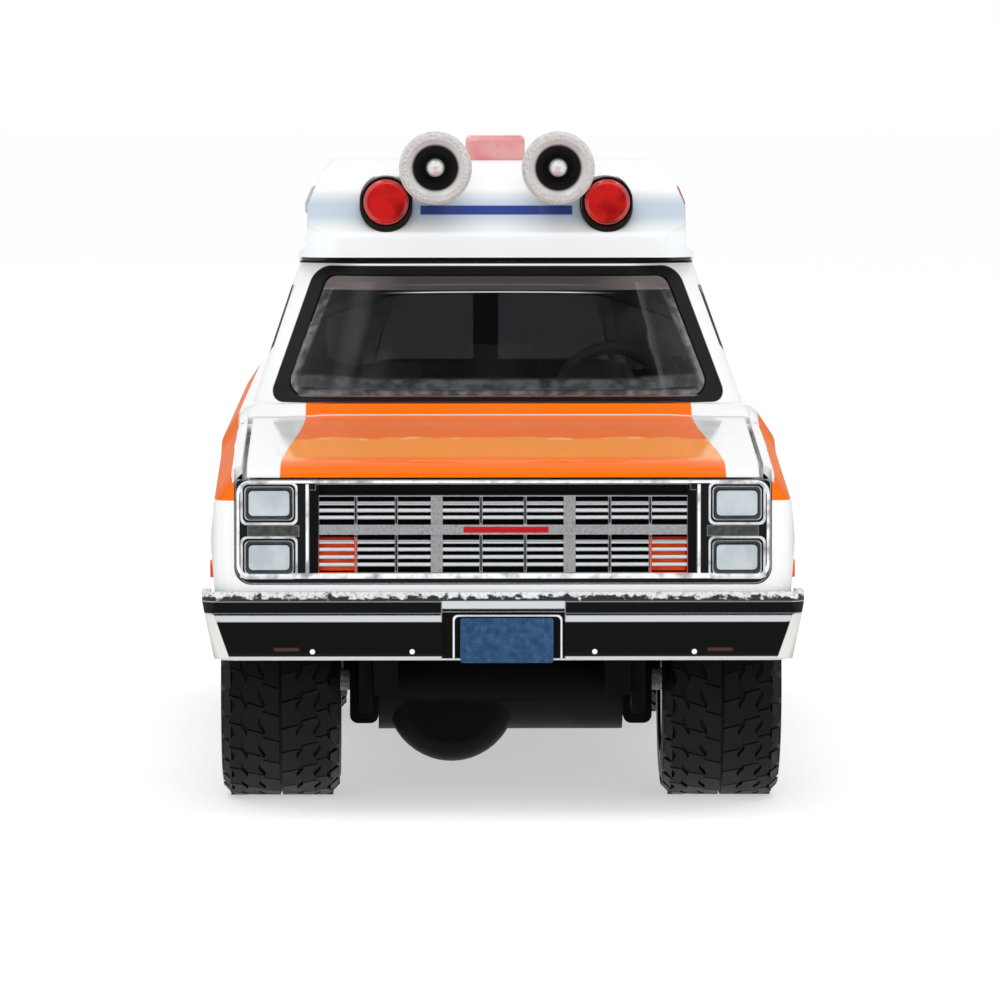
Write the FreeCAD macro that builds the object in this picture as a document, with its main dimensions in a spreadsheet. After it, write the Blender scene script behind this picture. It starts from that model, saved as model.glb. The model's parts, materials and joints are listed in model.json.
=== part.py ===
import FreeCAD, Part
import math
import os
import Sketcher
from FreeCAD import Placement, Rotation, Vector

# Toy ambulance, a die-cast scale model. Millimetres, front towards -Y, Z up, wheels on Z = 0.

SIZES = {
    # Whole model
    "overall_length": 87.0,
    "wheelbase": 51.4,
    "front_overhang": 13.5,
    "axle_height": 6.3,
    "fit_gap": 0.05,
    "panel_gap": 0.25,
    "overrun": 3.0,
    # Body casting, lower half
    "body_front_setback": 1.2,
    "body_rear_setback": 1.2,
    "body_wall": 1.2,
    "rocker_height": 8.3,
    "rocker_inset": 0.55,
    "crease_height": 14.6,
    "body_width": 30.9,
    "belt_inset": 0.2,
    "shoulder_drop": 1.9,
    "shoulder_inset": 1.45,
    "shoulder_round": 1.1,
    "nose_height": 18.8,
    "nose_drop": 0.75,
    "nose_run": 2.8,
    "cowl_setback": 19.1,
    "cowl_height": 20.3,
    "screen_setback": 20.5,
    "belt_height": 20.9,
    "front_corner_round": 1.5,
    "rear_corner_round": 1.3,
    "hood_crown_width": 18.6,
    "hood_crown_slope": 2.4,
    "hood_crown_rise": 0.12,
    # Grooves and small forms of the body casting
    "line_width": 0.14,
    "line_depth": 0.13,
    "door_start": 24.6,
    "door_post": 37.8,
    "door_end": 53.9,
    "door_bottom": 9.3,
    "door_top": 27.7,
    "door_round": 0.7,
    "tail_door_bottom": 12.3,
    "tail_door_margin": 1.3,
    "flap_start": 75.4,
    "flap_length": 2.6,
    "flap_bottom": 13.6,
    "flap_height": 2.2,
    "handle_length": 1.9,
    "handle_height": 0.5,
    "handle_level": 18.3,
    "handle_inset": 0.6,
    "handle_proud": 0.17,
    "tail_hinge_length": 1.3,
    "tail_hinge_height": 0.5,
    "arch_lip_width": 0.42,
    "arch_lip_proud": 0.1,
    # Body casting, windows and roof
    "sill_inset": 1.85,
    "roof_inset": 4.4,
    "roof_height": 28.55,
    "roof_front_setback": 28.0,
    "screen_corner_run": 4.0,
    "screen_corner_setback": 2.4,
    "screen_corner_round": 4.0,
    "pillar_round": 1.2,
    "roof_rear_lean": 0.7,
    "window_bottom": 21.6,
    "window_top": 27.0,
    "window_round": 0.8,
    "screen_bottom": 21.3,
    "screen_top": 27.8,
    "screen_bottom_margin": 1.75,
    "screen_top_margin": 1.55,
    "screen_round": 0.75,
    "front_window_start": 26.2,
    "front_window_end": 36.6,
    "second_window_start": 39.0,
    "second_window_end": 52.4,
    "rear_window_start": 55.4,
    "rear_window_end": 80.6,
    "tail_window_margin": 4.6,
    "tail_window_post": 1.6,
    # Wheel arches
    "arch_width": 15.4,
    "arch_top_width": 10.6,
    "arch_height": 13.7,
    "arch_round": 3.2,
    # Hood
    "hood_inset": 1.95,
    "hood_thickness": 0.9,
    "hood_lip_height": 17.95,
    "hood_lip_thickness": 0.9,
    "hood_length": 17.4,
    "hood_rear_gap": 0.5,
    "hood_ledge": 0.8,
    "hinge_radius": 0.3,
    "hinge_length": 0.75,
    "hinge_inset": 0.6,
    "hinge_pocket": 1.1,
    "hinge_clearance": 0.06,
    "bay_wall": 1.4,
    # Roof cap
    "cap_height": 34.15,
    "cap_tail_height": 33.55,
    "cap_lip_reach": 0.08,
    "cap_lip_thickness": 0.45,
    "cap_lip_proud": 0.5,
    "cap_side_height": 31.7,
    "cap_top_inset": 1.45,
    "cap_round": 1.8,
    "cap_wall": 0.9,
    "cap_brim_height": 30.1,
    "cap_brow_setback": 34.0,
    "cap_front_setback": 28.0,
    "cap_rear_setback": 1.8,
    "cap_tail_lean": 0.8,
    "cap_corner_round": 2.2,
    # Round lamps in the front of the cap
    "lamp_inset": 3.4,
    "lamp_height": 31.88,
    "lamp_setback": 28.2,
    "lamp_radius": 1.34,
    "lamp_ring_radius": 1.43,
    "lamp_ring_drop": 0.2,
    "lamp_ring_length": 4.3,
    "lamp_dome": 0.35,
    # Siren horns
    "horn_to_lamp": 2.76,
    "horn_height": 33.8,
    "horn_setback": 27.2,
    "horn_radius": 2.05,
    "horn_mouth_radius": 1.36,
    "horn_rim_length": 0.9,
    "horn_length": 2.2,
    "horn_neck_radius": 1.0,
    "horn_neck_length": 4.2,
    "horn_plug_radius": 0.46,
    "horn_bell_depth": 1.1,
    # Beacon and side lamps on the cap
    "beacon_width": 3.4,
    "beacon_length": 3.4,
    "beacon_height": 1.4,
    "beacon_setback": 35.0,
    "beacon_round": 0.35,
    "side_lamp_setback": 34.6,
    "side_lamp_length": 3.0,
    "side_lamp_height": 1.6,
    "side_lamp_centre": 31.9,
    "side_lamp_depth": 1.1,
    "side_lamp_inset": 0.3,
    "side_lamp_slant": 0.5,
    # Window moulding
    "glass_thickness": 0.8,
    "glass_recess": 0.15,
    # Grille and headlamp insert
    "grille_inset": 1.35,
    "grille_bottom": 12.35,
    "grille_top": 17.85,
    "grille_thickness": 1.3,
    "grille_round": 0.9,
    "grille_recess": 1.0,
    "grille_field_margin": 4.4,
    "grille_field_bottom": 12.95,
    "grille_field_top": 16.95,
    "grille_bar_bottom": 14.94,
    "grille_bar_height": 0.52,
    "grille_upright_spread": 7.0,
    "grille_upright_width": 0.62,
    "grille_slat_height": 0.2,
    "grille_brow_bottom": 17.08,
    "grille_brow_top": 17.58,
    "grille_slat_recess": 0.3,
    "grille_rib_width": 0.16,
    "bezel_inset": 1.77,
    "bezel_width": 2.9,
    "bezel_height": 2.15,
    "bezel_round": 0.25,
    "bezel_upper_height": 16.58,
    "bezel_lower_height": 13.72,
    "bezel_step": 0.3,
    # Lamps in the front
    "headlamp_width": 2.15,
    "headlamp_height": 1.32,
    "headlamp_depth": 0.75,
    "headlamp_recess": 0.2,
    "headlamp_round": 0.22,
    "parking_lamp_width": 1.9,
    "parking_lamp_height": 1.6,
    "parking_lamp_inset": 1.0,
    "parking_lamp_depth": 0.3,
    "marker_height": 13.0,
    "marker_size": 0.95,
    "marker_length": 1.5,
    "marker_setback": 3.2,
    "marker_proud": 0.03,
    "marker_depth": 0.9,
    # Bumpers
    "bumper_reach": 0.42,
    "bumper_taper": 0.67,
    "bumper_bottom": 8.47,
    "bumper_top": 11.95,
    "bumper_lip_height": 11.5,
    "bumper_groove_height": 10.75,
    "bumper_ridge_height": 10.4,
    "bumper_flange_height": 8.75,
    "bumper_groove_depth": 0.2,
    "bumper_thickness": 1.1,
    "bumper_wrap": 3.4,
    "bumper_wrap_thickness": 0.45,
    "bumper_round": 1.2,
    "plate_recess_width": 6.5,
    "plate_recess_top": 10.9,
    "plate_recess_depth": 0.35,
    "plate_lip_bottom": 10.98,
    "plate_offset": 0.18,
    "plate_width": 4.9,
    "plate_height": 2.35,
    "plate_bottom": 8.25,
    "plate_thickness": 0.3,
    # Tail lamps
    "tail_lamp_width": 1.5,
    "tail_lamp_height": 5.0,
    "tail_lamp_bottom": 12.6,
    "tail_lamp_inset": 1.85,
    "tail_lamp_depth": 0.8,
    "tail_lamp_proud": 0.15,
    # Interior
    "floor_thickness": 0.8,
    "tub_inset": 2.15,
    "tub_wall": 0.7,
    "tub_height": 19.3,
    "tub_start": 21.9,
    "tub_end": 79.0,
    "seat_width": 7.6,
    "seat_height": 5.2,
    "seat_depth": 6.6,
    "seat_back_height": 12.2,
    "seat_back_thickness": 1.7,
    "seat_lean": 1.4,
    "seat_inset": 7.0,
    "front_seat_setback": 30.0,
    "bench_setback": 44.5,
    "bench_inset": 3.3,
    "seat_round": 0.5,
    "dash_top": 20.8,
    "dash_depth": 2.0,
    "dash_height": 4.2,
    "dash_inset": 0.8,
    "dash_round": 0.8,
    "steering_inset": 6.7,
    "steering_radius": 3.1,
    "steering_rim": 0.32,
    "steering_height": 20.75,
    "steering_setback": 30.4,
    "steering_column": 4.6,
    # Chassis base
    "base_bottom": 8.55,
    "base_thickness": 1.1,
    "base_front": 4.2,
    "base_end": 83.8,
    "liner_wall": 0.6,
    "liner_reach": 7.85,
    "liner_inset": 1.35,
    "rail_inset": 1.4,
    "rail_width": 1.3,
    "rail_bottom": 6.2,
    "housing_radius": 2.7,
    "housing_inset": 1.0,
    "housing_end_reach": 0.55,
    "housing_end_bottom": 4.12,
    "housing_end_length": 5.4,
    "housing_end_round": 0.45,
    "diff_radius": 3.5,
    "diff_height": 5.45,
    "diff_offset": 2.66,
    "diff_width": 5.0,
    "gearbox_width": 5.2,
    "gearbox_bottom": 5.6,
    "gearbox_start": 20.0,
    "gearbox_end": 37.0,
    "tank_width": 10.0,
    "tank_bottom": 6.0,
    "tank_start": 72.4,
    "tank_end": 82.0,
    "tank_round": 1.0,
    "exhaust_radius": 0.75,
    "exhaust_run": 0.8,
    "exhaust_height": 7.9,
    "exhaust_start": 24.0,
    "exhaust_end": 54.0,
    "shaft_radius": 0.8,
    "front_shaft_radius": 0.55,
    "transfer_width": 3.6,
    "transfer_length": 4.6,
    "transfer_bottom": 5.2,
    "spring_run": 8.0,
    "spring_bow": 2.3,
    "spring_thickness": 0.6,
    "spring_width": 0.62,
    "cross_member_length": 1.4,
    "cross_member_bottom": 7.2,
    "rivet_radius": 1.0,
    "rivet_head_radius": 1.5,
    "rivet_head_height": 0.35,
    "boss_radius": 2.0,
    "boss_height": 3.2,
    "front_rivet_setback": 6.9,
    "rear_rivet_setback": 81.0,
    # Engine
    "engine_width": 7.4,
    "engine_length": 9.0,
    "engine_start": 9.2,
    "engine_height": 5.0,
    "engine_cover_width": 2.4,
    "engine_cover_height": 1.1,
    "cleaner_radius": 2.4,
    "cleaner_height": 0.9,
    # Axles and wheels
    "axle_radius": 0.6,
    "bore_clearance": 0.06,
    "tyre_radius": 6.3,
    "tyre_width": 6.4,
    "track_inset": 0.4,
    "tyre_shoulder": 0.75,
    "tyre_bead_radius": 3.9,
    "rim_lip_radius": 3.6,
    "rim_dish": 1.3,
    "rim_inset": 0.35,
    "rim_hub_radius": 1.3,
    "rim_hub_proud": 0.5,
    "rim_hole_radius": 0.42,
    "rim_hole_circle": 2.45,
}


class Size:
    """A length together with the sheet expression that gives it."""

    def __init__(self, value, text):
        self.value = float(value)
        self.text = text

    def __float__(self):
        return self.value

    def __add__(self, other):
        other = as_size(other)
        return Size(self.value + other.value, f"({self.text} + {other.text})")

    def __sub__(self, other):
        other = as_size(other)
        return Size(self.value - other.value, f"({self.text} - {other.text})")

    def __rsub__(self, other):
        return as_size(other) - self

    def __mul__(self, other):
        other = as_size(other)
        return Size(self.value * other.value, f"{self.text} * {other.text}")

    def __truediv__(self, other):
        other = as_size(other)
        return Size(self.value / other.value, f"{self.text} / ({other.text})")

    def __neg__(self):
        return Size(-self.value, f"(0 - {self.text})")

    __radd__ = __add__
    __rmul__ = __mul__


def as_size(number):
    if isinstance(number, Size):
        return number
    return Size(number, repr(float(number)))


class Dimensions:
    """The spreadsheet's aliases as attributes."""

    def __init__(self, sheet, sizes):
        for row, (alias, value) in enumerate(sizes.items(), start=1):
            sheet.set(f"A{row}", alias)
            sheet.set(f"B{row}", str(value))
            sheet.setAlias(f"B{row}", alias)
        doc.recompute()
        for alias in sizes:
            setattr(self, alias, Size(sheet.get(alias), f"Sizes.{alias}"))


doc = FreeCAD.newDocument("ToyAmbulance")
dim = Dimensions(doc.addObject("Spreadsheet::Sheet", "Sizes"), SIZES)

# Widths that follow the body, and each other
dim.rocker_width = dim.body_width - dim.rocker_inset * 2
dim.belt_width = dim.body_width - dim.belt_inset * 2
dim.shoulder_width = dim.body_width - dim.shoulder_inset * 2
dim.sill_width = dim.body_width - dim.sill_inset * 2
dim.roof_width = dim.body_width - dim.roof_inset * 2
dim.screen_corner_width = dim.sill_width / 2 - dim.screen_corner_run
dim.screen_bottom_width = dim.sill_width - dim.screen_bottom_margin * 2
dim.screen_top_width = dim.roof_width - dim.screen_top_margin * 2
dim.tail_window_width = dim.sill_width / 2 - dim.tail_window_margin
dim.tail_door_width = dim.tail_window_post / 2 + dim.tail_window_width + dim.tail_door_margin
dim.hood_width = dim.body_width - dim.hood_inset * 2
dim.cap_lip_width = dim.roof_width + dim.cap_lip_reach * 2
dim.cap_top_width = dim.roof_width - dim.cap_top_inset * 2
dim.lamp_spread = dim.cap_top_width - dim.lamp_inset * 2
dim.horn_spread = dim.lamp_spread - dim.horn_to_lamp * 2
dim.side_lamp_reach = dim.roof_width - dim.side_lamp_inset * 2
dim.grille_width = dim.body_width - dim.grille_inset * 2
dim.grille_field_width = dim.grille_width - dim.grille_field_margin * 2
dim.bezel_spread = dim.grille_width - dim.bezel_inset * 2
dim.parking_lamp_spread = dim.grille_field_width - dim.parking_lamp_inset * 2
dim.bumper_width = dim.body_width + dim.bumper_reach * 2
dim.bumper_bottom_width = dim.bumper_width - dim.bumper_taper * 2
dim.tail_lamp_spread = dim.body_width - dim.tail_lamp_inset * 2
dim.tub_width = dim.body_width - dim.tub_inset * 2
dim.seat_spread = dim.tub_width - dim.seat_inset * 2
dim.bench_width = dim.tub_width - dim.bench_inset * 2
dim.dash_width = dim.tub_width - dim.dash_inset * 2
dim.steering_spread = dim.tub_width / 2 - dim.steering_inset
dim.liner_inner_width = dim.body_width - dim.liner_reach * 2
dim.liner_width = dim.body_width - dim.liner_inset * 2
dim.rail_spread = dim.liner_inner_width - dim.rail_inset * 2
dim.housing_width = dim.liner_inner_width - dim.housing_inset * 2
dim.housing_end_width = dim.liner_inner_width + dim.housing_end_reach * 2
dim.exhaust_offset = dim.liner_inner_width / 2 + dim.exhaust_run
dim.track_outer_width = dim.body_width - dim.track_inset * 2

PLANES = {
    "XY": Rotation(),
    "XZ": Rotation(Vector(1, 0, 0), 90),
    "YZ": Rotation(Vector(1, 1, 1), 120),
}
AXES = {"x": Vector(1, 0, 0), "y": Vector(0, 1, 0), "z": Vector(0, 0, 1)}
PLANE_AXIS = {"XY": "z", "XZ": "y", "YZ": "x"}
NODES = []
SIDES = ((1, "left"), (-1, "right"))

# Shares and counts
SCREEN_SLANT_SHARE = 1.4
DOOR_GLASS_SHARE = 0.85
NOSE_SHARES = ((0.0, 0.0), (0.2, 0.42), (0.52, 0.8), (1.0, 1.0))
RIVET_REACH_SHARE = 0.7
HINGE_RISE_SHARE = 0.8
CAP_CREASE_SHARE = 0.54
LENS_DEPTH_SHARE = 0.45
LENS_ROUND_SHARE = 0.9
RING_ROUND_SHARE = 0.97
HORN_THROAT_SHARE = 0.55
LOWER_SLATS = 4
UPPER_SLATS = 3
RIB_SHARES = (-0.8, -0.58, -0.12, 0.12, 0.58, 0.8)
HEADREST_SHARE = 0.7
DASH_SLOPE_SHARE = 0.36
STEERING_TILT = 35
STEERING_FLAT_SHARE = 0.42
SPRING_EYE_SHARE = 0.9
ENGINE_FOOT_SHARE = 0.45
RIM_FLOOR_SHARE = 0.88
HUB_TOP_SHARE = 0.85
RIM_HOLES = 8


def depth(setback):
    """The Y of a place that lies so far behind the front of the model."""
    return as_size(setback) - dim.overall_length / 2


# Sketches

def bind(thing, path, size):
    if isinstance(size, Size):
        thing.setExpression(path, size.text)


def place(thing, x=0, y=0, z=0):
    for axis, size in zip("xyz", (x, y, z)):
        bind(thing, f"Placement.Base.{axis}", size)


def rounded_ends(corners):
    """Where each corner's arc begins and ends, and its centre."""
    points = [Vector(float(c[0]), float(c[1]), 0) for c in corners]
    ends = []
    for i, corner in enumerate(corners):
        point = points[i]
        if len(corner) < 3:
            ends.append((point, point, None))
            continue
        radius = float(corner[2])
        back = (points[i - 1] - point).normalize()
        ahead = (points[(i + 1) % len(points)] - point).normalize()
        half = math.acos(back.dot(ahead)) / 2
        run = radius / math.tan(half)
        centre = point + (back + ahead).normalize() * (radius / math.sin(half))
        ends.append((point + back * run, point + ahead * run, centre))
    return points, ends


def corner_arc(start, end, centre, radius):
    """The short arc between two points round a centre, drawn anticlockwise."""
    if (start - centre).cross(end - centre).z < 0:
        start, end = end, start
    first, last = [math.atan2(*reversed((point - centre)[:2])) for point in (start, end)]
    circle = Part.Circle(centre, Vector(0, 0, 1), radius)
    return Part.ArcOfCircle(circle, first, last if last > first else last + 2 * math.pi)


def draw_loop(sketch, corners):
    """A closed outline through corners (u, v) or (u, v, radius), bound to the sheet."""
    points, ends = rounded_ends(corners)
    count = len(corners)
    lines = [
        sketch.addGeometry(Part.LineSegment(ends[i][1], ends[(i + 1) % count][0]), False)
        for i in range(count)
    ]
    for i, corner in enumerate(corners):
        before, after = lines[i - 1], lines[i]
        if ends[i][2] is None:
            sketch.addConstraint(Sketcher.Constraint("Coincident", before, 2, after, 1))
            holder = after
        else:
            arc = sketch.addGeometry(corner_arc(*ends[i], float(corner[2])), False)
            start = sketch.Geometry[arc].StartPoint
            first = 1 if start.distanceToPoint(ends[i][0]) < start.distanceToPoint(ends[i][1]) else 2
            sketch.addConstraint(Sketcher.Constraint("Tangent", before, 2, arc, first))
            sketch.addConstraint(Sketcher.Constraint("Tangent", arc, 3 - first, after, 1))
            fixed = sketch.addConstraint(Sketcher.Constraint("Radius", arc, float(corner[2])))
            bind(sketch, f"Constraints[{fixed}]", corner[2])
            holder = sketch.addGeometry(Part.Point(points[i]), True)
            sketch.addConstraint(Sketcher.Constraint("PointOnObject", holder, 1, before))
            sketch.addConstraint(Sketcher.Constraint("PointOnObject", holder, 1, after))
        for kind, size in (("DistanceX", corner[0]), ("DistanceY", corner[1])):
            fixed = sketch.addConstraint(Sketcher.Constraint(kind, -1, 1, holder, 1, float(size)))
            bind(sketch, f"Constraints[{fixed}]", size)


def draw_circle(sketch, u, v, radius):
    middle = Vector(float(u), float(v), 0)
    ring = sketch.addGeometry(Part.Circle(middle, Vector(0, 0, 1), float(radius)), False)
    for kind, size in (("DistanceX", u), ("DistanceY", v)):
        fixed = sketch.addConstraint(Sketcher.Constraint(kind, -1, 1, ring, 3, float(size)))
        bind(sketch, f"Constraints[{fixed}]", size)
    fixed = sketch.addConstraint(Sketcher.Constraint("Radius", ring, float(radius)))
    bind(sketch, f"Constraints[{fixed}]", radius)


def rectangle(left, right, bottom, top, radius=None):
    corners = [(left, bottom), (right, bottom), (right, top), (left, top)]
    return corners if radius is None else [corner + (radius,) for corner in corners]


def both_sides(right_half):
    """Right half of an outline, bottom to top, completed by its mirror image."""
    left_half = [(-corner[0],) + tuple(corner[1:]) for corner in reversed(right_half)]
    return list(right_half) + left_half


# Solids from primitives and booleans

def sketch_on(name, plane, offset, *loops):
    sketch = doc.addObject("Sketcher::SketchObject", name)
    sketch.Placement = Placement(AXES[PLANE_AXIS[plane]] * float(offset), PLANES[plane])
    place(sketch, **{PLANE_AXIS[plane]: as_size(offset)})
    for loop in loops:
        if len(loop) == 3 and not isinstance(loop[0], tuple):
            draw_circle(sketch, *loop)
        else:
            draw_loop(sketch, loop)
    return sketch


def prism(name, plane, start, end, *loops):
    """Loops on a plane, drawn out from start to end along the plane's axis."""
    solid = doc.addObject("Part::Extrusion", name)
    solid.Base = sketch_on(name + "_outline", plane, start, *loops)
    solid.DirMode = "Custom"
    solid.Dir = AXES[PLANE_AXIS[plane]]
    solid.Solid = True
    bind(solid, "LengthFwd", as_size(end) - as_size(start))
    return solid


def loft(name, sections):
    solid = doc.addObject("Part::Loft", name)
    solid.Sections = sections
    solid.Solid = True
    solid.Ruled = True
    return solid


def lathe(name, axis, profile, x=0, y=0, z=0):
    """A profile (along the axis, radius) turned about the axis through a point."""
    plane = "XZ" if axis == "x" else "YZ"
    solid = doc.addObject("Part::Revolution", name)
    solid.Source = sketch_on(name + "_profile", plane, 0, profile)
    solid.Axis = AXES[axis]
    solid.Base = Vector(0, 0, 0)
    solid.Angle = 360
    solid.Solid = True
    place(solid, x, y, z)
    return solid


def combine(kind, name, pieces):
    solid = doc.addObject(kind, name)
    solid.Shapes = pieces
    solid.Refine = True
    return solid


def fuse(name, *pieces):
    return combine("Part::MultiFuse", name, list(pieces))


def common(name, *pieces):
    return combine("Part::MultiCommon", name, list(pieces))


def cut(name, base, *tools):
    solid = doc.addObject("Part::Cut", name)
    solid.Base = base
    solid.Tool = tools[0] if len(tools) == 1 else fuse(name + "_tools", *tools)
    solid.Refine = True
    return solid


def mirror(name, source):
    solid = doc.addObject("Part::Mirroring", name)
    solid.Source = source
    solid.Normal = AXES["x"]
    return solid


def fillet(name, base, radius, chosen):
    """Rounds the edges of the base that the test picks out."""
    doc.recompute()
    solid = doc.addObject("Part::Fillet", name)
    solid.Base = base
    edges = enumerate(base.Shape.Edges, start=1)
    solid.Edges = [(i, float(radius), float(radius)) for i, edge in edges if chosen(edge)]
    return solid


def node(label, solid):
    solid.Label = label
    NODES.append(solid)
    return solid


# Body casting

def body_section(name, setback, top, inset=0, floor=None):
    """Section of the lower body across the model at one place along it."""
    top = as_size(top)
    floor = dim.rocker_height if floor is None else floor
    crown_edge = dim.hood_crown_width / 2
    right_half = [
        (dim.rocker_width / 2 - inset, floor),
        (dim.body_width / 2 - inset, dim.crease_height),
        (dim.belt_width / 2 - inset, top - dim.shoulder_drop, dim.shoulder_round),
        (dim.shoulder_width / 2 - inset, top - inset, dim.shoulder_round),
        (crown_edge + dim.hood_crown_slope, top - inset),
        (crown_edge, top + dim.hood_crown_rise - inset),
    ]
    return sketch_on(name, "XZ", depth(setback), both_sides(right_half))


def hull(name, drop=0, inset=0):
    """Outer form of the lower body, or the same form lowered or drawn in by a thickness."""
    sections = []
    for i, (back_share, up_share) in enumerate(NOSE_SHARES):
        setback = dim.body_front_setback + dim.nose_run * back_share
        top = dim.nose_height - dim.nose_drop * (1 - up_share) - drop
        sections.append(body_section(f"{name}_nose{i}", setback, top, inset))
    end = dim.overall_length - dim.body_rear_setback
    sections += [
        body_section(name + "_cowl", dim.cowl_setback, dim.cowl_height - drop, inset),
        body_section(name + "_screen", dim.screen_setback, dim.belt_height - drop, inset),
        body_section(name + "_tail", end, dim.belt_height - drop, inset),
    ]
    return loft(name, sections)


def greenhouse(name, inset=0, sink=None):
    """Form of the windows and roof, from a little below the sill to the roof."""
    sink = dim.overrun / 2 if sink is None else sink
    rear = dim.overall_length - dim.body_rear_setback - inset

    def outline(level, height, width, front, rear_end):
        side = width / 2 - inset
        corner = dim.screen_corner_width * width / dim.sill_width - inset
        nose = front + inset * SCREEN_SLANT_SHARE
        right_half = [
            (corner, depth(nose), dim.screen_corner_round),
            (side, depth(nose) + dim.screen_corner_setback, dim.pillar_round),
            (side, depth(rear_end), dim.pillar_round),
        ]
        return sketch_on(f"{name}_{level}", "XY", height, both_sides(right_half))

    low = dim.belt_height - sink
    slope = (dim.roof_front_setback - dim.screen_setback) / (dim.roof_height - dim.belt_height)
    front = dim.screen_setback - slope * sink
    lean = (dim.sill_width - dim.roof_width) / (dim.roof_height - dim.belt_height)
    width = dim.sill_width + lean * sink
    return loft(name, [
        outline("sill", low, width, front, rear),
        outline("roof", dim.roof_height - inset, dim.roof_width, dim.roof_front_setback,
                rear - dim.roof_rear_lean),
    ])


def plan_outline(name, inset=0):
    """Plan of the lower body with its rounded corners."""
    side = dim.body_width / 2 - inset
    front = depth(dim.body_front_setback) + inset
    rear = depth(dim.overall_length - dim.body_rear_setback) - inset
    corners = [
        (-side, front, dim.front_corner_round),
        (side, front, dim.front_corner_round),
        (side, rear, dim.rear_corner_round),
        (-side, rear, dim.rear_corner_round),
    ]
    return prism(name, "XY", 0, dim.roof_height, corners)


def window_tools(name, grow=0):
    """Prisms through the screen, the side windows and the tail windows."""
    half = dim.body_width / 2 + dim.overrun
    low, high = dim.window_bottom - grow, dim.window_top + grow
    slant = dim.window_top - dim.window_bottom
    radius = dim.window_round
    first = [
        (depth(dim.front_window_start) - grow, low, radius),
        (depth(dim.front_window_end) + grow, low, radius),
        (depth(dim.front_window_end) + grow, high, radius),
        (depth(dim.front_window_start) + slant * DOOR_GLASS_SHARE - grow, high, radius),
    ]
    second = rectangle(depth(dim.second_window_start) - grow, depth(dim.second_window_end) + grow,
                       low, high, radius)
    third = rectangle(depth(dim.rear_window_start) - grow, depth(dim.rear_window_end) + grow,
                      low, high, radius)
    sides = prism(name + "_sides", "YZ", -half, half, first, second, third)
    screen = prism(name + "_screen", "XZ", depth(dim.screen_setback - dim.overrun),
                   depth(dim.front_window_start + dim.overrun), both_sides([
                       (dim.screen_bottom_width / 2 + grow, dim.screen_bottom - grow, dim.screen_round),
                       (dim.screen_top_width / 2 + grow, dim.screen_top + grow, dim.screen_round),
                   ]))
    post = dim.tail_window_post / 2 - grow
    outer = dim.tail_window_post / 2 + dim.tail_window_width + grow
    tail = prism(name + "_tail", "XZ", depth(dim.rear_window_end + dim.overrun / 2),
                 depth(dim.overall_length + dim.overrun),
                 rectangle(post, outer, low, high, radius),
                 rectangle(-outer, -post, low, high, radius))
    return [sides, screen, tail]


def arch_outline(setback, grow=0):
    """Side view of a wheel arch, open downwards."""
    middle = depth(setback)
    floor = as_size(0)
    lower, upper = dim.arch_width / 2 + grow, dim.arch_top_width / 2 + grow
    radius = dim.arch_round + grow
    return [
        (middle - lower, floor),
        (middle + lower, floor),
        (middle + lower, dim.rocker_height + grow, radius),
        (middle + upper, dim.arch_height + grow, radius),
        (middle - upper, dim.arch_height + grow, radius),
        (middle - lower, dim.rocker_height + grow, radius),
    ]


AXLE_SETBACKS = (dim.front_overhang, dim.front_overhang + dim.wheelbase)


def hood_space(name, gap):
    """Room over the engine bay for the hood, with a gap round it."""
    half = dim.hood_width / 2 + gap
    start = depth(dim.body_front_setback - dim.overrun)
    end = depth(dim.body_front_setback + dim.hood_length) + dim.hood_rear_gap
    block = prism(name + "_block", "XY", dim.crease_height, dim.roof_height,
                  rectangle(-half, half, start, end))
    return cut(name, block, hull(name + "_floor", dim.hood_thickness + gap))


def hinge_depth():
    return depth(dim.body_front_setback + dim.hood_length - dim.hinge_inset)


def hinge_height():
    return dim.cowl_height - dim.hood_thickness + dim.hinge_radius * HINGE_RISE_SHARE


def marker_block(name, side, grow=0):
    start = depth(dim.marker_setback)
    half = dim.marker_size / 2 + grow
    face = dim.body_width / 2 + dim.marker_proud
    root = face - dim.marker_depth - grow
    outline = rectangle(start - grow, start + dim.marker_length + grow,
                        dim.marker_height - half, dim.marker_height + half, dim.marker_size / 4)
    low, high = (root, face) if side > 0 else (-face, -root)
    return prism(name, "YZ", low, high, outline)


def tail_lamp_block(name, side, grow=0):
    rear = dim.overall_length - dim.body_rear_setback
    half = dim.tail_lamp_width / 2 + grow
    middle = side * dim.tail_lamp_spread / 2
    outline = rectangle(middle - half, middle + half, dim.tail_lamp_bottom - grow,
                        dim.tail_lamp_bottom + dim.tail_lamp_height + grow, dim.tail_lamp_width / 4)
    return prism(name, "XZ", depth(rear - dim.tail_lamp_depth) - grow,
                 depth(rear) + dim.tail_lamp_proud, outline)


def boss(name, setback, wall_setback):
    """Block on an end wall of the body that a rivet of the chassis base goes up into."""
    near, far = depth(setback), depth(wall_setback)
    reach = dim.boss_radius
    ends = (near - reach, far) if float(far) > float(near) else (far, near + reach)
    floor = base_top() + dim.fit_gap
    return prism(name, "XY", floor, floor + dim.boss_height,
                 rectangle(-reach, reach, ends[0], ends[1], dim.boss_radius / 4))


def base_top():
    return dim.base_bottom + dim.base_thickness


def base_width():
    return dim.rocker_width - (dim.body_wall + dim.fit_gap) * 2


def rivet_bore(name, setback, radius):
    return prism(name, "XY", 0, base_top() + dim.boss_height * RIVET_REACH_SHARE + dim.fit_gap,
                 (as_size(0), depth(setback), radius))


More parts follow.
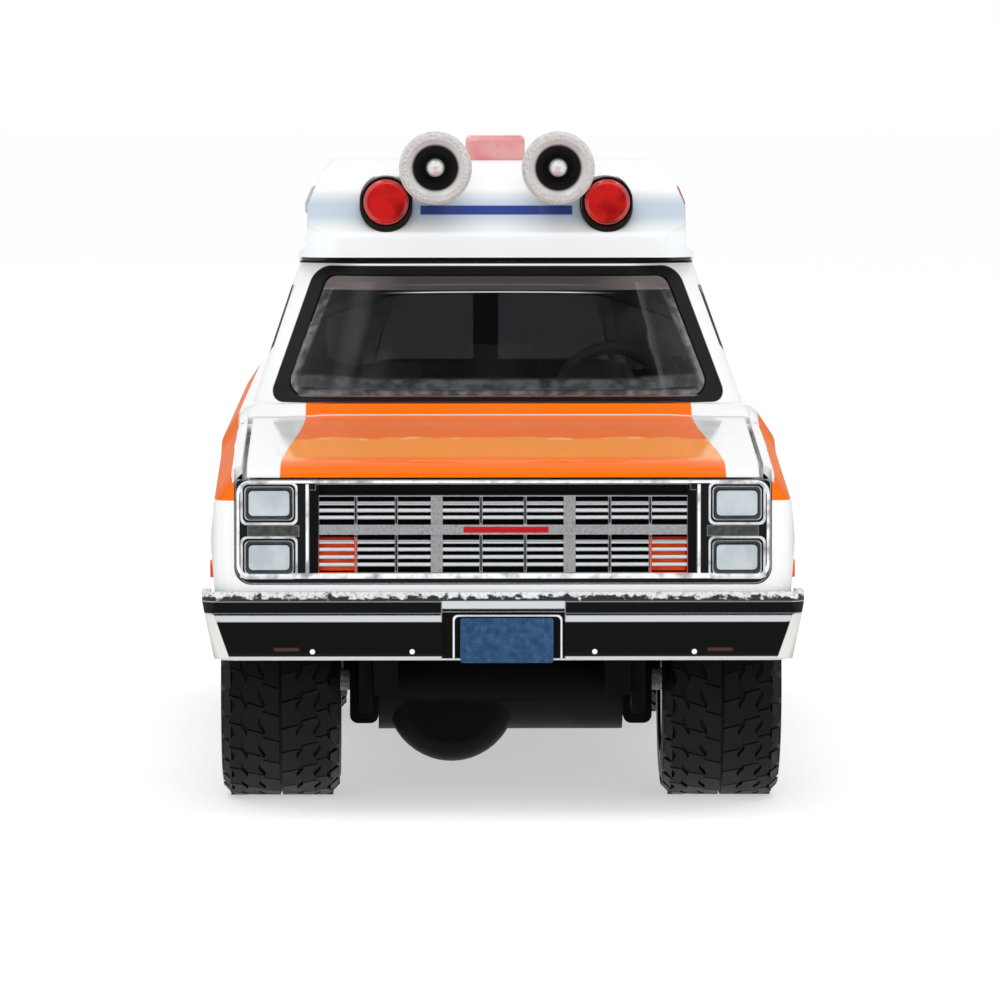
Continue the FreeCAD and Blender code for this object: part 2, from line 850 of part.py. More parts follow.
def door_outline(start, end, inset=0):
    """Side view of the space between two shut lines; the first follows the screen."""
    bottom, top = dim.door_bottom + inset, dim.door_top - inset
    radius = dim.door_round - inset
    slant = (top - dim.belt_height) * DOOR_GLASS_SHARE
    if start is None:
        start = depth(dim.door_start) + inset
        return [(start, bottom, radius), (end, bottom, radius), (end, top, radius),
                (start + slant, top, radius), (start, dim.belt_height)]
    return rectangle(start, end, bottom, top, radius)


def panel_lines():
    """Shut lines of the doors and the fuel flap, of one depth all round the body."""
    width = dim.line_width
    reach = dim.body_width / 2 + dim.overrun
    post, last = depth(dim.door_post), depth(dim.door_end)
    sides = prism("side_lines", "YZ", -reach, reach,
                  door_outline(None, last),
                  door_outline(None, post - width / 2, width),
                  door_outline(post + width / 2, last - width, width))
    outer = dim.tail_door_width
    bottom, top = dim.tail_door_bottom, dim.door_top
    radius = dim.door_round - width
    tail = prism("tail_lines", "XZ", depth(dim.rear_window_end + dim.overrun),
                 depth(dim.overall_length + dim.overrun),
                 rectangle(-outer, outer, bottom, top, dim.door_round),
                 rectangle(width / 2, outer - width, bottom + width, top - width, radius),
                 rectangle(width - outer, -width / 2, bottom + width, top - width, radius))
    start = depth(dim.flap_start)
    end, roof = start + dim.flap_length, dim.flap_bottom + dim.flap_height
    flap = prism("flap_line", "YZ", 0, reach,
                 rectangle(start, end, dim.flap_bottom, roof, width * 2),
                 rectangle(start + width, end - width, dim.flap_bottom + width, roof - width, width))
    rear = depth(dim.overall_length - dim.body_rear_setback)
    within = prism("line_reach", "XY", 0, dim.roof_height, rectangle(
        -reach, reach, depth(0), rear - dim.line_depth))
    floor = fuse("line_floor", common("line_floor_low", hull("line_hull", 0, dim.line_depth), within),
                 greenhouse("line_floor_high", dim.line_depth))
    return cut("panel_line_grooves", fuse("panel_line_frames", sides, tail, flap), floor)


def door_fittings():
    """Handles on the side doors, and the hinges and handle of the tail doors."""
    solids = []
    half = dim.handle_height / 2
    face = dim.belt_width / 2 + dim.handle_proud
    low, high = dim.handle_level - half, dim.handle_level + half
    for side, name in SIDES:
        reach = sorted((side * face, side * (face - dim.body_wall)), key=float)
        for i, setback in enumerate((dim.door_post, dim.door_end)):
            end = depth(setback) - dim.handle_inset
            solids.append(prism(f"handle_{name}_{i}", "YZ", *reach, rectangle(
                end - dim.handle_length, end, low, high, half / 2)))
        for i, level in enumerate((dim.flap_bottom, dim.belt_height - dim.tail_hinge_height)):
            middle = side * dim.tail_door_width
            rear = depth(dim.overall_length - dim.body_rear_setback)
            solids.append(prism(
                f"tail_hinge_{name}_{i}", "XZ", rear - dim.body_wall, rear + dim.line_depth, rectangle(
                    middle - dim.tail_hinge_length / 2, middle + dim.tail_hinge_length / 2,
                    level - dim.tail_hinge_height, level, dim.tail_hinge_height / 4)))
    rear = depth(dim.overall_length - dim.body_rear_setback)
    solids.append(prism("tail_handle", "XZ", rear - dim.body_wall, rear + dim.handle_proud, rectangle(
        dim.line_width * 2, dim.line_width * 2 + dim.handle_height, low, high + half * 2, half / 2)))
    return solids


def make_body_shell():
    outer = common("body_lower", hull("body_hull"), plan_outline("body_plan"))
    lip_form = fuse("arch_lip_form", *[
        prism(f"arch_lip_{i}", "YZ", -dim.body_width, dim.body_width,
              arch_outline(setback, dim.arch_lip_width))
        for i, setback in enumerate(AXLE_SETBACKS)])
    lips = common("arch_lips", lip_form, hull("lip_hull", 0, -dim.arch_lip_proud))
    wall = dim.body_wall
    end = dim.overall_length - dim.body_rear_setback - wall
    fire_wall = dim.screen_setback + dim.fit_gap
    below = dim.rocker_height - dim.overrun
    inside = loft("body_inside", [
        body_section("body_inside_front", fire_wall, dim.belt_height, wall, below),
        body_section("body_inside_rear", end, dim.belt_height, wall, below),
    ])
    bay_half = dim.hood_width / 2 - dim.hood_ledge
    panel_back = depth(dim.body_front_setback + dim.grille_thickness + dim.bay_wall)
    cowl_front = depth(dim.body_front_setback + dim.hood_length) + dim.hood_rear_gap
    bay = prism("engine_bay", "XY", 0, dim.roof_height,
                rectangle(-bay_half, bay_half, panel_back, cowl_front))
    seat_half = dim.grille_width / 2 + dim.fit_gap
    seat_back = depth(dim.body_front_setback + dim.grille_thickness) + dim.fit_gap
    grille_seat = prism("grille_seat", "XZ", depth(0), seat_back, rectangle(
        -seat_half, seat_half, dim.grille_bottom - dim.fit_gap, dim.belt_height, dim.grille_round))
    tools = [inside, greenhouse("body_room", wall), bay, grille_seat]
    tools.append(hood_space("hood_room", dim.panel_gap))
    pocket_half = dim.hood_width / 2 + dim.panel_gap
    tools.append(prism("hinge_pocket", "XY", hinge_height() - dim.hinge_pocket, dim.roof_height,
                       rectangle(-pocket_half, pocket_half,
                                 hinge_depth() - dim.hinge_pocket, cowl_front)))
    hinge = dim.hinge_radius + dim.hinge_clearance
    pin_half = dim.hood_width / 2 + dim.hinge_length + dim.hinge_clearance
    tools.append(prism("hinge_bore", "YZ", -pin_half, pin_half,
                       (hinge_depth(), hinge_height(), hinge)))
    liner_half = dim.liner_width / 2 + dim.fit_gap
    for name, setback in zip(("front", "rear"), AXLE_SETBACKS):
        tools.append(prism(f"arch_{name}", "YZ", -dim.body_width, dim.body_width,
                           arch_outline(setback)))
        tools.append(prism(f"liner_seat_{name}", "YZ", -liner_half, liner_half,
                           arch_outline(setback, dim.liner_wall + dim.fit_gap)))
    base_half = base_width() / 2 + dim.fit_gap
    tools.append(prism("base_seat", "XY", 0, base_top() + dim.fit_gap, rectangle(
        -base_half, base_half, depth(dim.base_front) - dim.fit_gap, depth(dim.base_end))))
    tools += window_tools("body_windows")
    for side, name in SIDES:
        tools.append(marker_block(f"marker_seat_{name}", side, dim.fit_gap))
        tools.append(tail_lamp_block(f"tail_lamp_seat_{name}", side, dim.fit_gap))
    shell = cut("body_hollow", fuse("body_solid", outer, greenhouse("body_upper"), lips), *tools)
    bosses = fuse(
        "body_with_bosses", shell,
        boss("boss_front", dim.front_rivet_setback, dim.body_front_setback + dim.grille_thickness
             + dim.bay_wall / 2),
        boss("boss_rear", dim.rear_rivet_setback, end + wall / 2), *door_fittings())
    bores = [
        rivet_bore(f"boss_bore_{i}", setback, dim.rivet_radius + dim.fit_gap)
        for i, setback in enumerate((dim.front_rivet_setback, dim.rear_rivet_setback))
    ]
    return cut("body_casting", cut("body_bored", bosses, *bores), panel_lines())


def make_hood():
    half = dim.hood_width / 2
    front = depth(dim.body_front_setback)
    rear = front + dim.hood_length
    plan = prism("hood_plan", "XY", dim.hood_lip_height, dim.roof_height, rectangle(
        -half, half, front - dim.overrun, rear))
    skin = common("hood_skin", hull("hood_top"), plan)
    below = prism("hood_below_plan", "XY", 0, dim.roof_height, rectangle(
        -half - dim.overrun, half + dim.overrun, front + dim.hood_lip_thickness, rear + dim.overrun))
    under = common("hood_under", hull("hood_underside", dim.hood_thickness), below)
    panel = cut("hood_panel", skin, under)
    pins = [
        prism(f"hinge_pin_{name}", "YZ", *span, (hinge_depth(), hinge_height(), dim.hinge_radius))
        for name, span in (
            ("left", (half - dim.hinge_length, half + dim.hinge_length)),
            ("right", (-half - dim.hinge_length, -half + dim.hinge_length)))
    ]
    return fuse("hood_casting", panel, *pins)


# Roof cap and what stands on it

def cap_bottom():
    return dim.roof_height + dim.fit_gap


def cap_form(name, inset=0, floor=None):
    bottom = cap_bottom() if floor is None else floor
    lip = dim.cap_lip_width / 2 - inset
    side = dim.cap_lip_width / 2 - dim.cap_lip_proud - inset
    lip_top = cap_bottom() + dim.cap_lip_thickness
    top_half = dim.cap_top_width / 2 - inset
    over = dim.cap_height + dim.overrun
    section = [
        (lip, bottom),
        (lip, lip_top),
        (side, lip_top + dim.cap_lip_proud / 2),
        (side, dim.cap_side_height),
        (top_half, dim.cap_height - inset, dim.cap_round),
    ] if float(inset) == 0 else [
        (side, bottom),
        (side, dim.cap_side_height),
        (top_half, dim.cap_height - inset, dim.cap_round),
    ]
    front = depth(dim.cap_front_setback) + inset
    brow = depth(dim.cap_brow_setback) + inset / 2
    slope_middle = (front + brow) / 2
    rise = dim.cap_height - dim.cap_brim_height
    rear = depth(dim.overall_length - dim.cap_rear_setback) - inset
    side_view = [
        (front, bottom),
        (front, dim.cap_brim_height - inset / 2, dim.cap_lip_proud),
        (slope_middle, dim.cap_brim_height - inset + rise * CAP_CREASE_SHARE),
        (brow, dim.cap_height - inset, dim.cap_round),
        (rear - dim.cap_tail_lean, dim.cap_tail_height - inset, dim.cap_round),
        (rear, bottom),
    ]
    plan = [
        (-lip, front, dim.cap_corner_round), (lip, front, dim.cap_corner_round),
        (lip, rear, dim.cap_corner_round), (-lip, rear, dim.cap_corner_round),
    ]
    return common(
        name,
        prism(name + "_section", "XZ", depth(0), depth(dim.overall_length), both_sides(section)),
        prism(name + "_side", "YZ", -dim.body_width, dim.body_width, side_view),
        prism(name + "_plan", "XY", dim.cap_side_height - dim.sill_width, over, plan))


def side_lamp_block(name, side, grow=0):
    root = dim.side_lamp_reach / 2 - dim.side_lamp_depth - grow
    face = dim.side_lamp_reach / 2
    start = depth(dim.side_lamp_setback)
    low = dim.side_lamp_centre - dim.side_lamp_height / 2 - grow
    high = dim.side_lamp_centre + dim.side_lamp_height / 2 + grow
    outline = [(side * root, low), (side * face, low), (side * (face - dim.side_lamp_slant), high),
               (side * root, high)]
    return prism(name, "XZ", start - grow, start + dim.side_lamp_length + grow, outline)


def beacon_outline(grow=0):
    half = dim.beacon_width / 2 + grow
    start = depth(dim.beacon_setback)
    return rectangle(-half, half, start - grow, start + dim.beacon_length + grow, dim.beacon_round)


def beacon_floor():
    return dim.cap_height - dim.cap_wall / 2


def make_roof_cap():
    room = cap_form("cap_room", dim.cap_wall, cap_bottom() - dim.overrun)
    tools = [room]
    tools.append(prism("beacon_seat", "XY", beacon_floor() - dim.fit_gap,
                       dim.cap_height + dim.overrun, beacon_outline(dim.fit_gap)))
    ahead = depth(dim.cap_front_setback - dim.overrun)
    for side, name in SIDES:
        tools.append(prism(
            f"lamp_seat_{name}", "XZ", ahead,
            depth(dim.lamp_setback + dim.lamp_ring_length) + dim.fit_gap,
            lamp_ring_outline(side, dim.fit_gap)))
        tools.append(prism(
            f"horn_seat_{name}", "XZ", ahead,
            depth(dim.horn_setback + dim.horn_length + dim.horn_neck_length) + dim.fit_gap,
            (side * dim.horn_spread / 2, dim.horn_height, dim.horn_neck_radius + dim.fit_gap)))
        tools.append(side_lamp_block(f"side_lamp_seat_{name}", side, dim.fit_gap))
    return cut("cap_moulding", cap_form("cap_solid"), *tools)


def lamp_ring_outline(side, grow=0):
    """Front view of a bezel: round above, and drawn down below the lens."""
    middle = side * dim.lamp_spread / 2
    radius = dim.lamp_ring_radius + grow
    return rectangle(middle - radius, middle + radius,
                     dim.lamp_height - radius - dim.lamp_ring_drop, dim.lamp_height + radius,
                     radius * RING_ROUND_SHARE)


def make_lamp_ring(side, name):
    front = depth(dim.lamp_setback)
    block = prism(f"lamp_ring_{name}_block", "XZ", front, front + dim.lamp_ring_length,
                  lamp_ring_outline(side))
    bore = prism(f"lamp_bore_{name}", "XZ", front - dim.overrun,
                 front + dim.lamp_ring_length * LENS_DEPTH_SHARE,
                 (side * dim.lamp_spread / 2, dim.lamp_height, dim.lamp_radius))
    return cut(f"lamp_ring_{name}", block, bore)


def make_lamp_lens(side, name):
    bore = dim.lamp_ring_length * LENS_DEPTH_SHARE - dim.fit_gap
    edge = dim.lamp_radius - dim.fit_gap
    profile = [
        (-dim.lamp_dome, as_size(0)),
        (-dim.lamp_dome, edge, dim.lamp_dome * LENS_ROUND_SHARE),
        (bore, edge),
        (bore, as_size(0)),
    ]
    return lathe(f"lamp_lens_{name}", "y", profile, side * dim.lamp_spread / 2,
                 depth(dim.lamp_setback), dim.lamp_height)


def make_horn(side, name):
    rim = dim.horn_radius - dim.horn_mouth_radius
    profile = [
        (rim / 4, as_size(0)),
        (rim / 4, dim.horn_plug_radius),
        (dim.horn_bell_depth, dim.horn_plug_radius),
        (dim.horn_bell_depth, dim.horn_mouth_radius * HORN_THROAT_SHARE),
        (rim / 3, dim.horn_mouth_radius),
        (as_size(0), dim.horn_mouth_radius + rim / 3),
        (as_size(0), dim.horn_radius - rim / 4),
        (rim / 4, dim.horn_radius),
        (dim.horn_rim_length - rim / 4, dim.horn_radius),
        (dim.horn_rim_length, dim.horn_radius - rim / 4),
        (dim.horn_length, dim.horn_neck_radius),
        (dim.horn_length + dim.horn_neck_length, dim.horn_neck_radius),
        (dim.horn_length + dim.horn_neck_length, as_size(0)),
    ]
    return lathe(f"siren_horn_{name}_turned", "y", profile, side * dim.horn_spread / 2,
                 depth(dim.horn_setback), dim.horn_height)


def make_beacon():
    block = prism("beacon_block", "XY", beacon_floor(), dim.cap_height + dim.beacon_height,
                  beacon_outline())
    rim_height = float(dim.cap_height + dim.beacon_height) - float(dim.beacon_round) / 2
    return fillet("beacon_rounded", block, dim.beacon_round,
                  lambda edge: edge.BoundBox.ZMin > rim_height)


# Window moulding

def make_window_moulding():
    outer = greenhouse("glass_outer", dim.glass_recess)
    room = greenhouse("glass_room", dim.body_wall + dim.fit_gap)
    inset = dim.body_wall + dim.fit_gap + dim.glass_thickness
    inner = greenhouse("glass_inner", inset, dim.overrun)
    skin = cut("glass_skin", outer, inner)
    lining = cut("glass_lining", room, inner)
    panes = [
        common(f"glass_pane_{i}", skin, tool)
        for i, tool in enumerate(window_tools("glass_panes", -dim.fit_gap))
    ]
    return fuse("glass_moulding", lining, *panes)


# Grille insert and the lamps in it

def grille_prism(name, front, back, *loops):
    """Loops between two depths behind the front face of the grille insert."""
    face = depth(dim.body_front_setback)
    return prism(name, "XZ", face + front, face + back, *loops)


def bezel_loops(width, height, radius):
    loops = []
    for side, _ in SIDES:
        for level in (dim.bezel_lower_height, dim.bezel_upper_height):
            middle = side * dim.bezel_spread / 2
            loops.append(rectangle(middle - width / 2, middle + width / 2,
                                   level - height / 2, level + height / 2, radius))
    return loops


def bezel_funnels():
    """Sloped walls from the step of each bezel down to the edge of its lens."""
    face = depth(dim.body_front_setback)
    step = dim.bezel_step
    fronts = bezel_loops(dim.bezel_width - step, dim.bezel_height - step, dim.bezel_round)
    backs = bezel_loops(dim.headlamp_width + step / 2, dim.headlamp_height + step / 2, dim.headlamp_round)
    return [
        loft(f"bezel_funnel_{i}", [
            sketch_on(f"bezel_funnel_{i}_front", "XZ", face, near),
            sketch_on(f"bezel_funnel_{i}_back", "XZ", face + dim.headlamp_recess + step, far)])
        for i, (near, far) in enumerate(zip(fronts, backs))
    ]


def slat_levels(bottom, top, count):
    pitch = (top - bottom) / (count + 1)
    return [bottom + pitch * (i + 1) - dim.grille_slat_height / 2 for i in range(count)]


def make_grille_insert():
    half = dim.grille_width / 2
    front = -dim.overrun
    plate = grille_prism("grille_plate", as_size(0), dim.grille_thickness, [
        (-half, dim.grille_bottom, dim.grille_round), (half, dim.grille_bottom, dim.grille_round),
        (half, dim.grille_top, dim.bezel_round), (-half, dim.grille_top, dim.bezel_round)])
    field = dim.grille_field_width / 2
    low, high = dim.grille_field_bottom, dim.grille_field_top
    step = dim.bezel_step
    carved = cut(
        "grille_carved", plate,
        grille_prism("grille_field", front, dim.grille_recess, rectangle(-field, field, low, high)),
        grille_prism("grille_brow", front, dim.grille_slat_recess, rectangle(
            -field, field, dim.grille_brow_bottom, dim.grille_brow_top)),
        grille_prism("bezel_outer", front, step / 2, *bezel_loops(
            dim.bezel_width, dim.bezel_height, dim.bezel_round)),
        *bezel_funnels(),
        grille_prism("headlamp_seat", front, dim.headlamp_recess + dim.headlamp_depth + dim.fit_gap,
                     *bezel_loops(dim.headlamp_width + dim.fit_gap * 2,
                                  dim.headlamp_height + dim.fit_gap * 2, dim.headlamp_round)))
    bar_top = dim.grille_bar_bottom + dim.grille_bar_height
    slat_back = dim.grille_recess - dim.parking_lamp_depth - dim.fit_gap
    slat = dim.grille_slat_height
    near = depth(dim.body_front_setback + dim.grille_slat_recess)
    far = depth(dim.body_front_setback) + slat_back
    slats = [
        [(near, level), (far, level), (far, level + slat), (near + slat / 2, level + slat)]
        for span in ((low, dim.grille_bar_bottom, LOWER_SLATS), (bar_top, high, UPPER_SLATS))
        for level in slat_levels(*span)
    ]
    upright = dim.grille_upright_width / 2
    rib = dim.grille_rib_width / 2
    uprights = [
        rectangle(side * dim.grille_upright_spread / 2 - upright,
                  side * dim.grille_upright_spread / 2 + upright, low, high)
        for side, _ in SIDES
    ]
    ribs = [
        rectangle(field * share - rib, field * share + rib, low, high)
        for share in RIB_SHARES
    ]
    return fuse(
        "grille_moulding", carved,
        grille_prism("grille_bar", as_size(0), dim.grille_recess, rectangle(
            -field, field, dim.grille_bar_bottom, bar_top)),
        prism("grille_slats", "YZ", -field, field, *slats),
        grille_prism("grille_uprights", dim.grille_slat_recess / 2, dim.grille_recess, *uprights),
        grille_prism("grille_ribs", dim.grille_slat_recess, slat_back, *ribs))


def make_headlamps():
    return grille_prism("headlamp_lenses_block", dim.headlamp_recess,
                        dim.headlamp_recess + dim.headlamp_depth, *bezel_loops(
                            dim.headlamp_width, dim.headlamp_height, dim.headlamp_round))


def make_parking_lamps():
    half = dim.parking_lamp_width / 2
    back = dim.grille_recess - dim.fit_gap / 2
    low = dim.grille_field_bottom + dim.fit_gap
    loops = [
        rectangle(side * dim.parking_lamp_spread / 2 - half, side * dim.parking_lamp_spread / 2 + half,
                  low, low + dim.parking_lamp_height)
        for side, _ in SIDES
    ]
    return grille_prism("parking_lamps_block", back - dim.parking_lamp_depth, back, *loops)


# Bumpers and plate

def make_bumper(name):
    half = dim.bumper_width / 2
    back = depth(dim.bumper_wrap)
    groove = depth(dim.bumper_groove_depth)
    profile = [
        (back, dim.bumper_bottom),
        (groove, dim.bumper_bottom),
        (depth(0) + dim.bumper_groove_depth / 2, dim.bumper_flange_height),
        (depth(0), dim.bumper_ridge_height),
        (groove, dim.bumper_groove_height),
        (depth(0) + dim.bumper_groove_depth / 2, dim.bumper_lip_height),
        (depth(dim.bumper_groove_depth) + dim.bumper_groove_depth * 2, dim.bumper_top),
        (back, dim.bumper_top),
    ]
    bar = prism(name + "_profile", "YZ", -half, half, profile)
    taper = prism(name + "_face", "XZ", depth(-dim.overrun), back, [
        (-dim.bumper_bottom_width / 2, dim.bumper_bottom), (dim.bumper_bottom_width / 2, dim.bumper_bottom),
        (half, dim.bumper_lip_height), (half, dim.bumper_top),
        (-half, dim.bumper_top), (-half, dim.bumper_lip_height)])
    plan = prism(name + "_plan", "XY", 0, dim.belt_height, [
        (-half, depth(0), dim.bumper_round), (half, depth(0), dim.bumper_round),
        (half, back), (-half, back)])
    solid = common(name + "_solid", bar, taper, plan)
    room = half - dim.bumper_wrap_thickness
    inner = depth(dim.bumper_thickness)
    return cut(name + "_bar", solid, prism(name + "_room", "XY", 0, dim.belt_height, rectangle(
        -room, room, inner, back + dim.overrun)))


def make_front_bumper():
    half = dim.plate_recess_width / 2
    recess = prism("plate_recess", "XZ", depth(-dim.overrun), depth(dim.plate_recess_depth), rectangle(
        -half, half, dim.bumper_bottom - dim.overrun, dim.plate_recess_top))
    ahead, over = depth(-dim.overrun), dim.bumper_top + dim.fit_gap
    slope = prism("plate_lip_slope", "YZ", -half, half, [
        (ahead, dim.plate_lip_bottom), (depth(dim.bumper_groove_depth / 2), dim.plate_lip_bottom),
        (depth(dim.bumper_groove_depth * 3), over), (ahead, over)])
    return cut("front_bumper_bar_recessed", make_bumper("front_bumper_bar"), recess, slope)


def make_rear_bumper():
    solid = doc.addObject("Part::Mirroring", "rear_bumper_mirrored")
    solid.Source = make_bumper("rear_bumper_bar")
    solid.Normal = AXES["y"]
    return solid


def make_front_plate():
    half = dim.plate_width / 2
    back = depth(dim.plate_recess_depth) - dim.fit_gap / 2
    return prism("front_plate_block", "XZ", back - dim.plate_thickness, back, rectangle(
        dim.plate_offset - half, dim.plate_offset + half, dim.plate_bottom,
        dim.plate_bottom + dim.plate_height, dim.plate_thickness / 2))


# Interior

def make_interior_tub():
    half = dim.tub_width / 2
    floor = base_top() + dim.fit_gap
    start, end = depth(dim.tub_start), depth(dim.tub_end)
    block = prism("tub_block", "XY", floor, dim.tub_height, rectangle(
        -half, half, start, end, dim.tub_wall))
    room = prism("tub_room", "XY", floor + dim.floor_thickness, dim.tub_height + dim.overrun, rectangle(
        -half + dim.tub_wall, half - dim.tub_wall, start + dim.tub_wall, end - dim.tub_wall))
    shell = cut("tub_shell", block, room)
    seats = [
        seat(f"front_seat_{name}", side * dim.seat_spread / 2, dim.front_seat_setback, dim.seat_width)
        for side, name in SIDES
    ]
    seats.append(seat("bench_seat", as_size(0), dim.bench_setback, dim.bench_width))
    inner = dim.liner_inner_width / 2 - dim.fit_gap
    outline = arch_outline(AXLE_SETBACKS[1], dim.liner_wall + dim.fit_gap)
    notches = [
        prism("tub_notch_left", "YZ", inner, dim.body_width, outline),
        prism("tub_notch_right", "YZ", -dim.body_width, -inner, outline),
    ]
    return cut("tub_moulding", fuse("tub_with_seats", shell, *seats), *notches)


def seat(name, middle, setback, width):
    front = depth(setback)
    floor = base_top() + dim.fit_gap + dim.floor_thickness / 2
    base = floor + dim.floor_thickness / 2
    rear = front + dim.seat_depth
    profile = [
        (front, floor),
        (rear, floor),
        (rear + dim.seat_lean, base + dim.seat_back_height, dim.seat_round),
        (rear + dim.seat_lean - dim.seat_back_thickness * HEADREST_SHARE,
         base + dim.seat_back_height, dim.seat_round),
        (rear - dim.seat_back_thickness, base + dim.seat_height),
        (front, base + dim.seat_height, dim.seat_round),
    ]
    return prism(name, "YZ", middle - width / 2, middle + width / 2, profile)


def make_dashboard():
    front = depth(dim.tub_start) + dim.tub_wall + dim.fit_gap
    top = dim.dash_top
    bottom = top - dim.dash_height
    shelf = dim.dash_height * DASH_SLOPE_SHARE
    rear = front + shelf + dim.dash_depth
    profile = [
        (front, bottom),
        (rear - dim.dash_round * 2, bottom),
        (rear, bottom + dim.dash_round * 2, dim.dash_round),
        (rear, top, dim.dash_round),
        (front + shelf, top),
        (front, top - shelf),
    ]
    block = prism("dashboard_block", "YZ", -dim.dash_width / 2, dim.dash_width / 2, profile)
    half = dim.dash_width / 2
    low_part = prism("dashboard_low", "XY", bottom - dim.overrun, dim.tub_height, rectangle(
        -half - dim.overrun, half + dim.overrun, front - dim.overrun, rear + dim.overrun))
    inset = dim.body_wall + dim.glass_thickness + dim.fit_gap * 2
    return common("dashboard_moulding", block,
                  fuse("dashboard_reach", low_part, greenhouse("dashboard_room", inset, dim.overrun)))


def make_steering_wheel():
    radius, thick = dim.steering_radius, dim.steering_rim
    flat = thick * STEERING_FLAT_SHARE
    rim = lathe("steering_rim", "y", [
        (-thick, radius - flat), (-thick, radius + flat), (-flat, radius + thick), (flat, radius + thick),
        (thick, radius + flat), (thick, radius - flat), (flat, radius - thick), (-flat, radius - thick)])
    hub = prism("steering_hub", "XZ", -thick, thick, (as_size(0), as_size(0), radius / 4))
    spoke = prism("steering_spoke", "XZ", -thick / 2, thick / 2, rectangle(
        -radius, radius, -thick, thick))
    column = prism("steering_post", "XZ", -dim.steering_column, as_size(0),
                   (as_size(0), as_size(0), thick))
    wheel = fuse("steering_wheel_moulding", rim, hub, spoke, column)
    wheel.Placement = Placement(Vector(), Rotation(AXES["x"], STEERING_TILT))
    place(wheel, dim.steering_spread, depth(dim.steering_setback), dim.steering_height)
    return wheel


# Chassis base, engine and rivets

def spring_outline(setback):
    """Side view of a leaf spring bowed down under its axle housing, with its two shackles."""
    middle = depth(setback)
    top = dim.base_bottom + dim.fit_gap
    bottom = dim.housing_end_bottom + dim.fit_gap
    thick = dim.spring_thickness
    run = dim.spring_run
    eye = run * SPRING_EYE_SHARE
    return [
        (middle - run, top), (middle - run, bottom + dim.spring_bow), (middle, bottom),
        (middle + run, bottom + dim.spring_bow), (middle + run, top), (middle + eye, top),
        (middle + eye, bottom + dim.spring_bow + thick), (middle, bottom + thick),
        (middle - eye, bottom + dim.spring_bow + thick), (middle - eye, top),
    ]


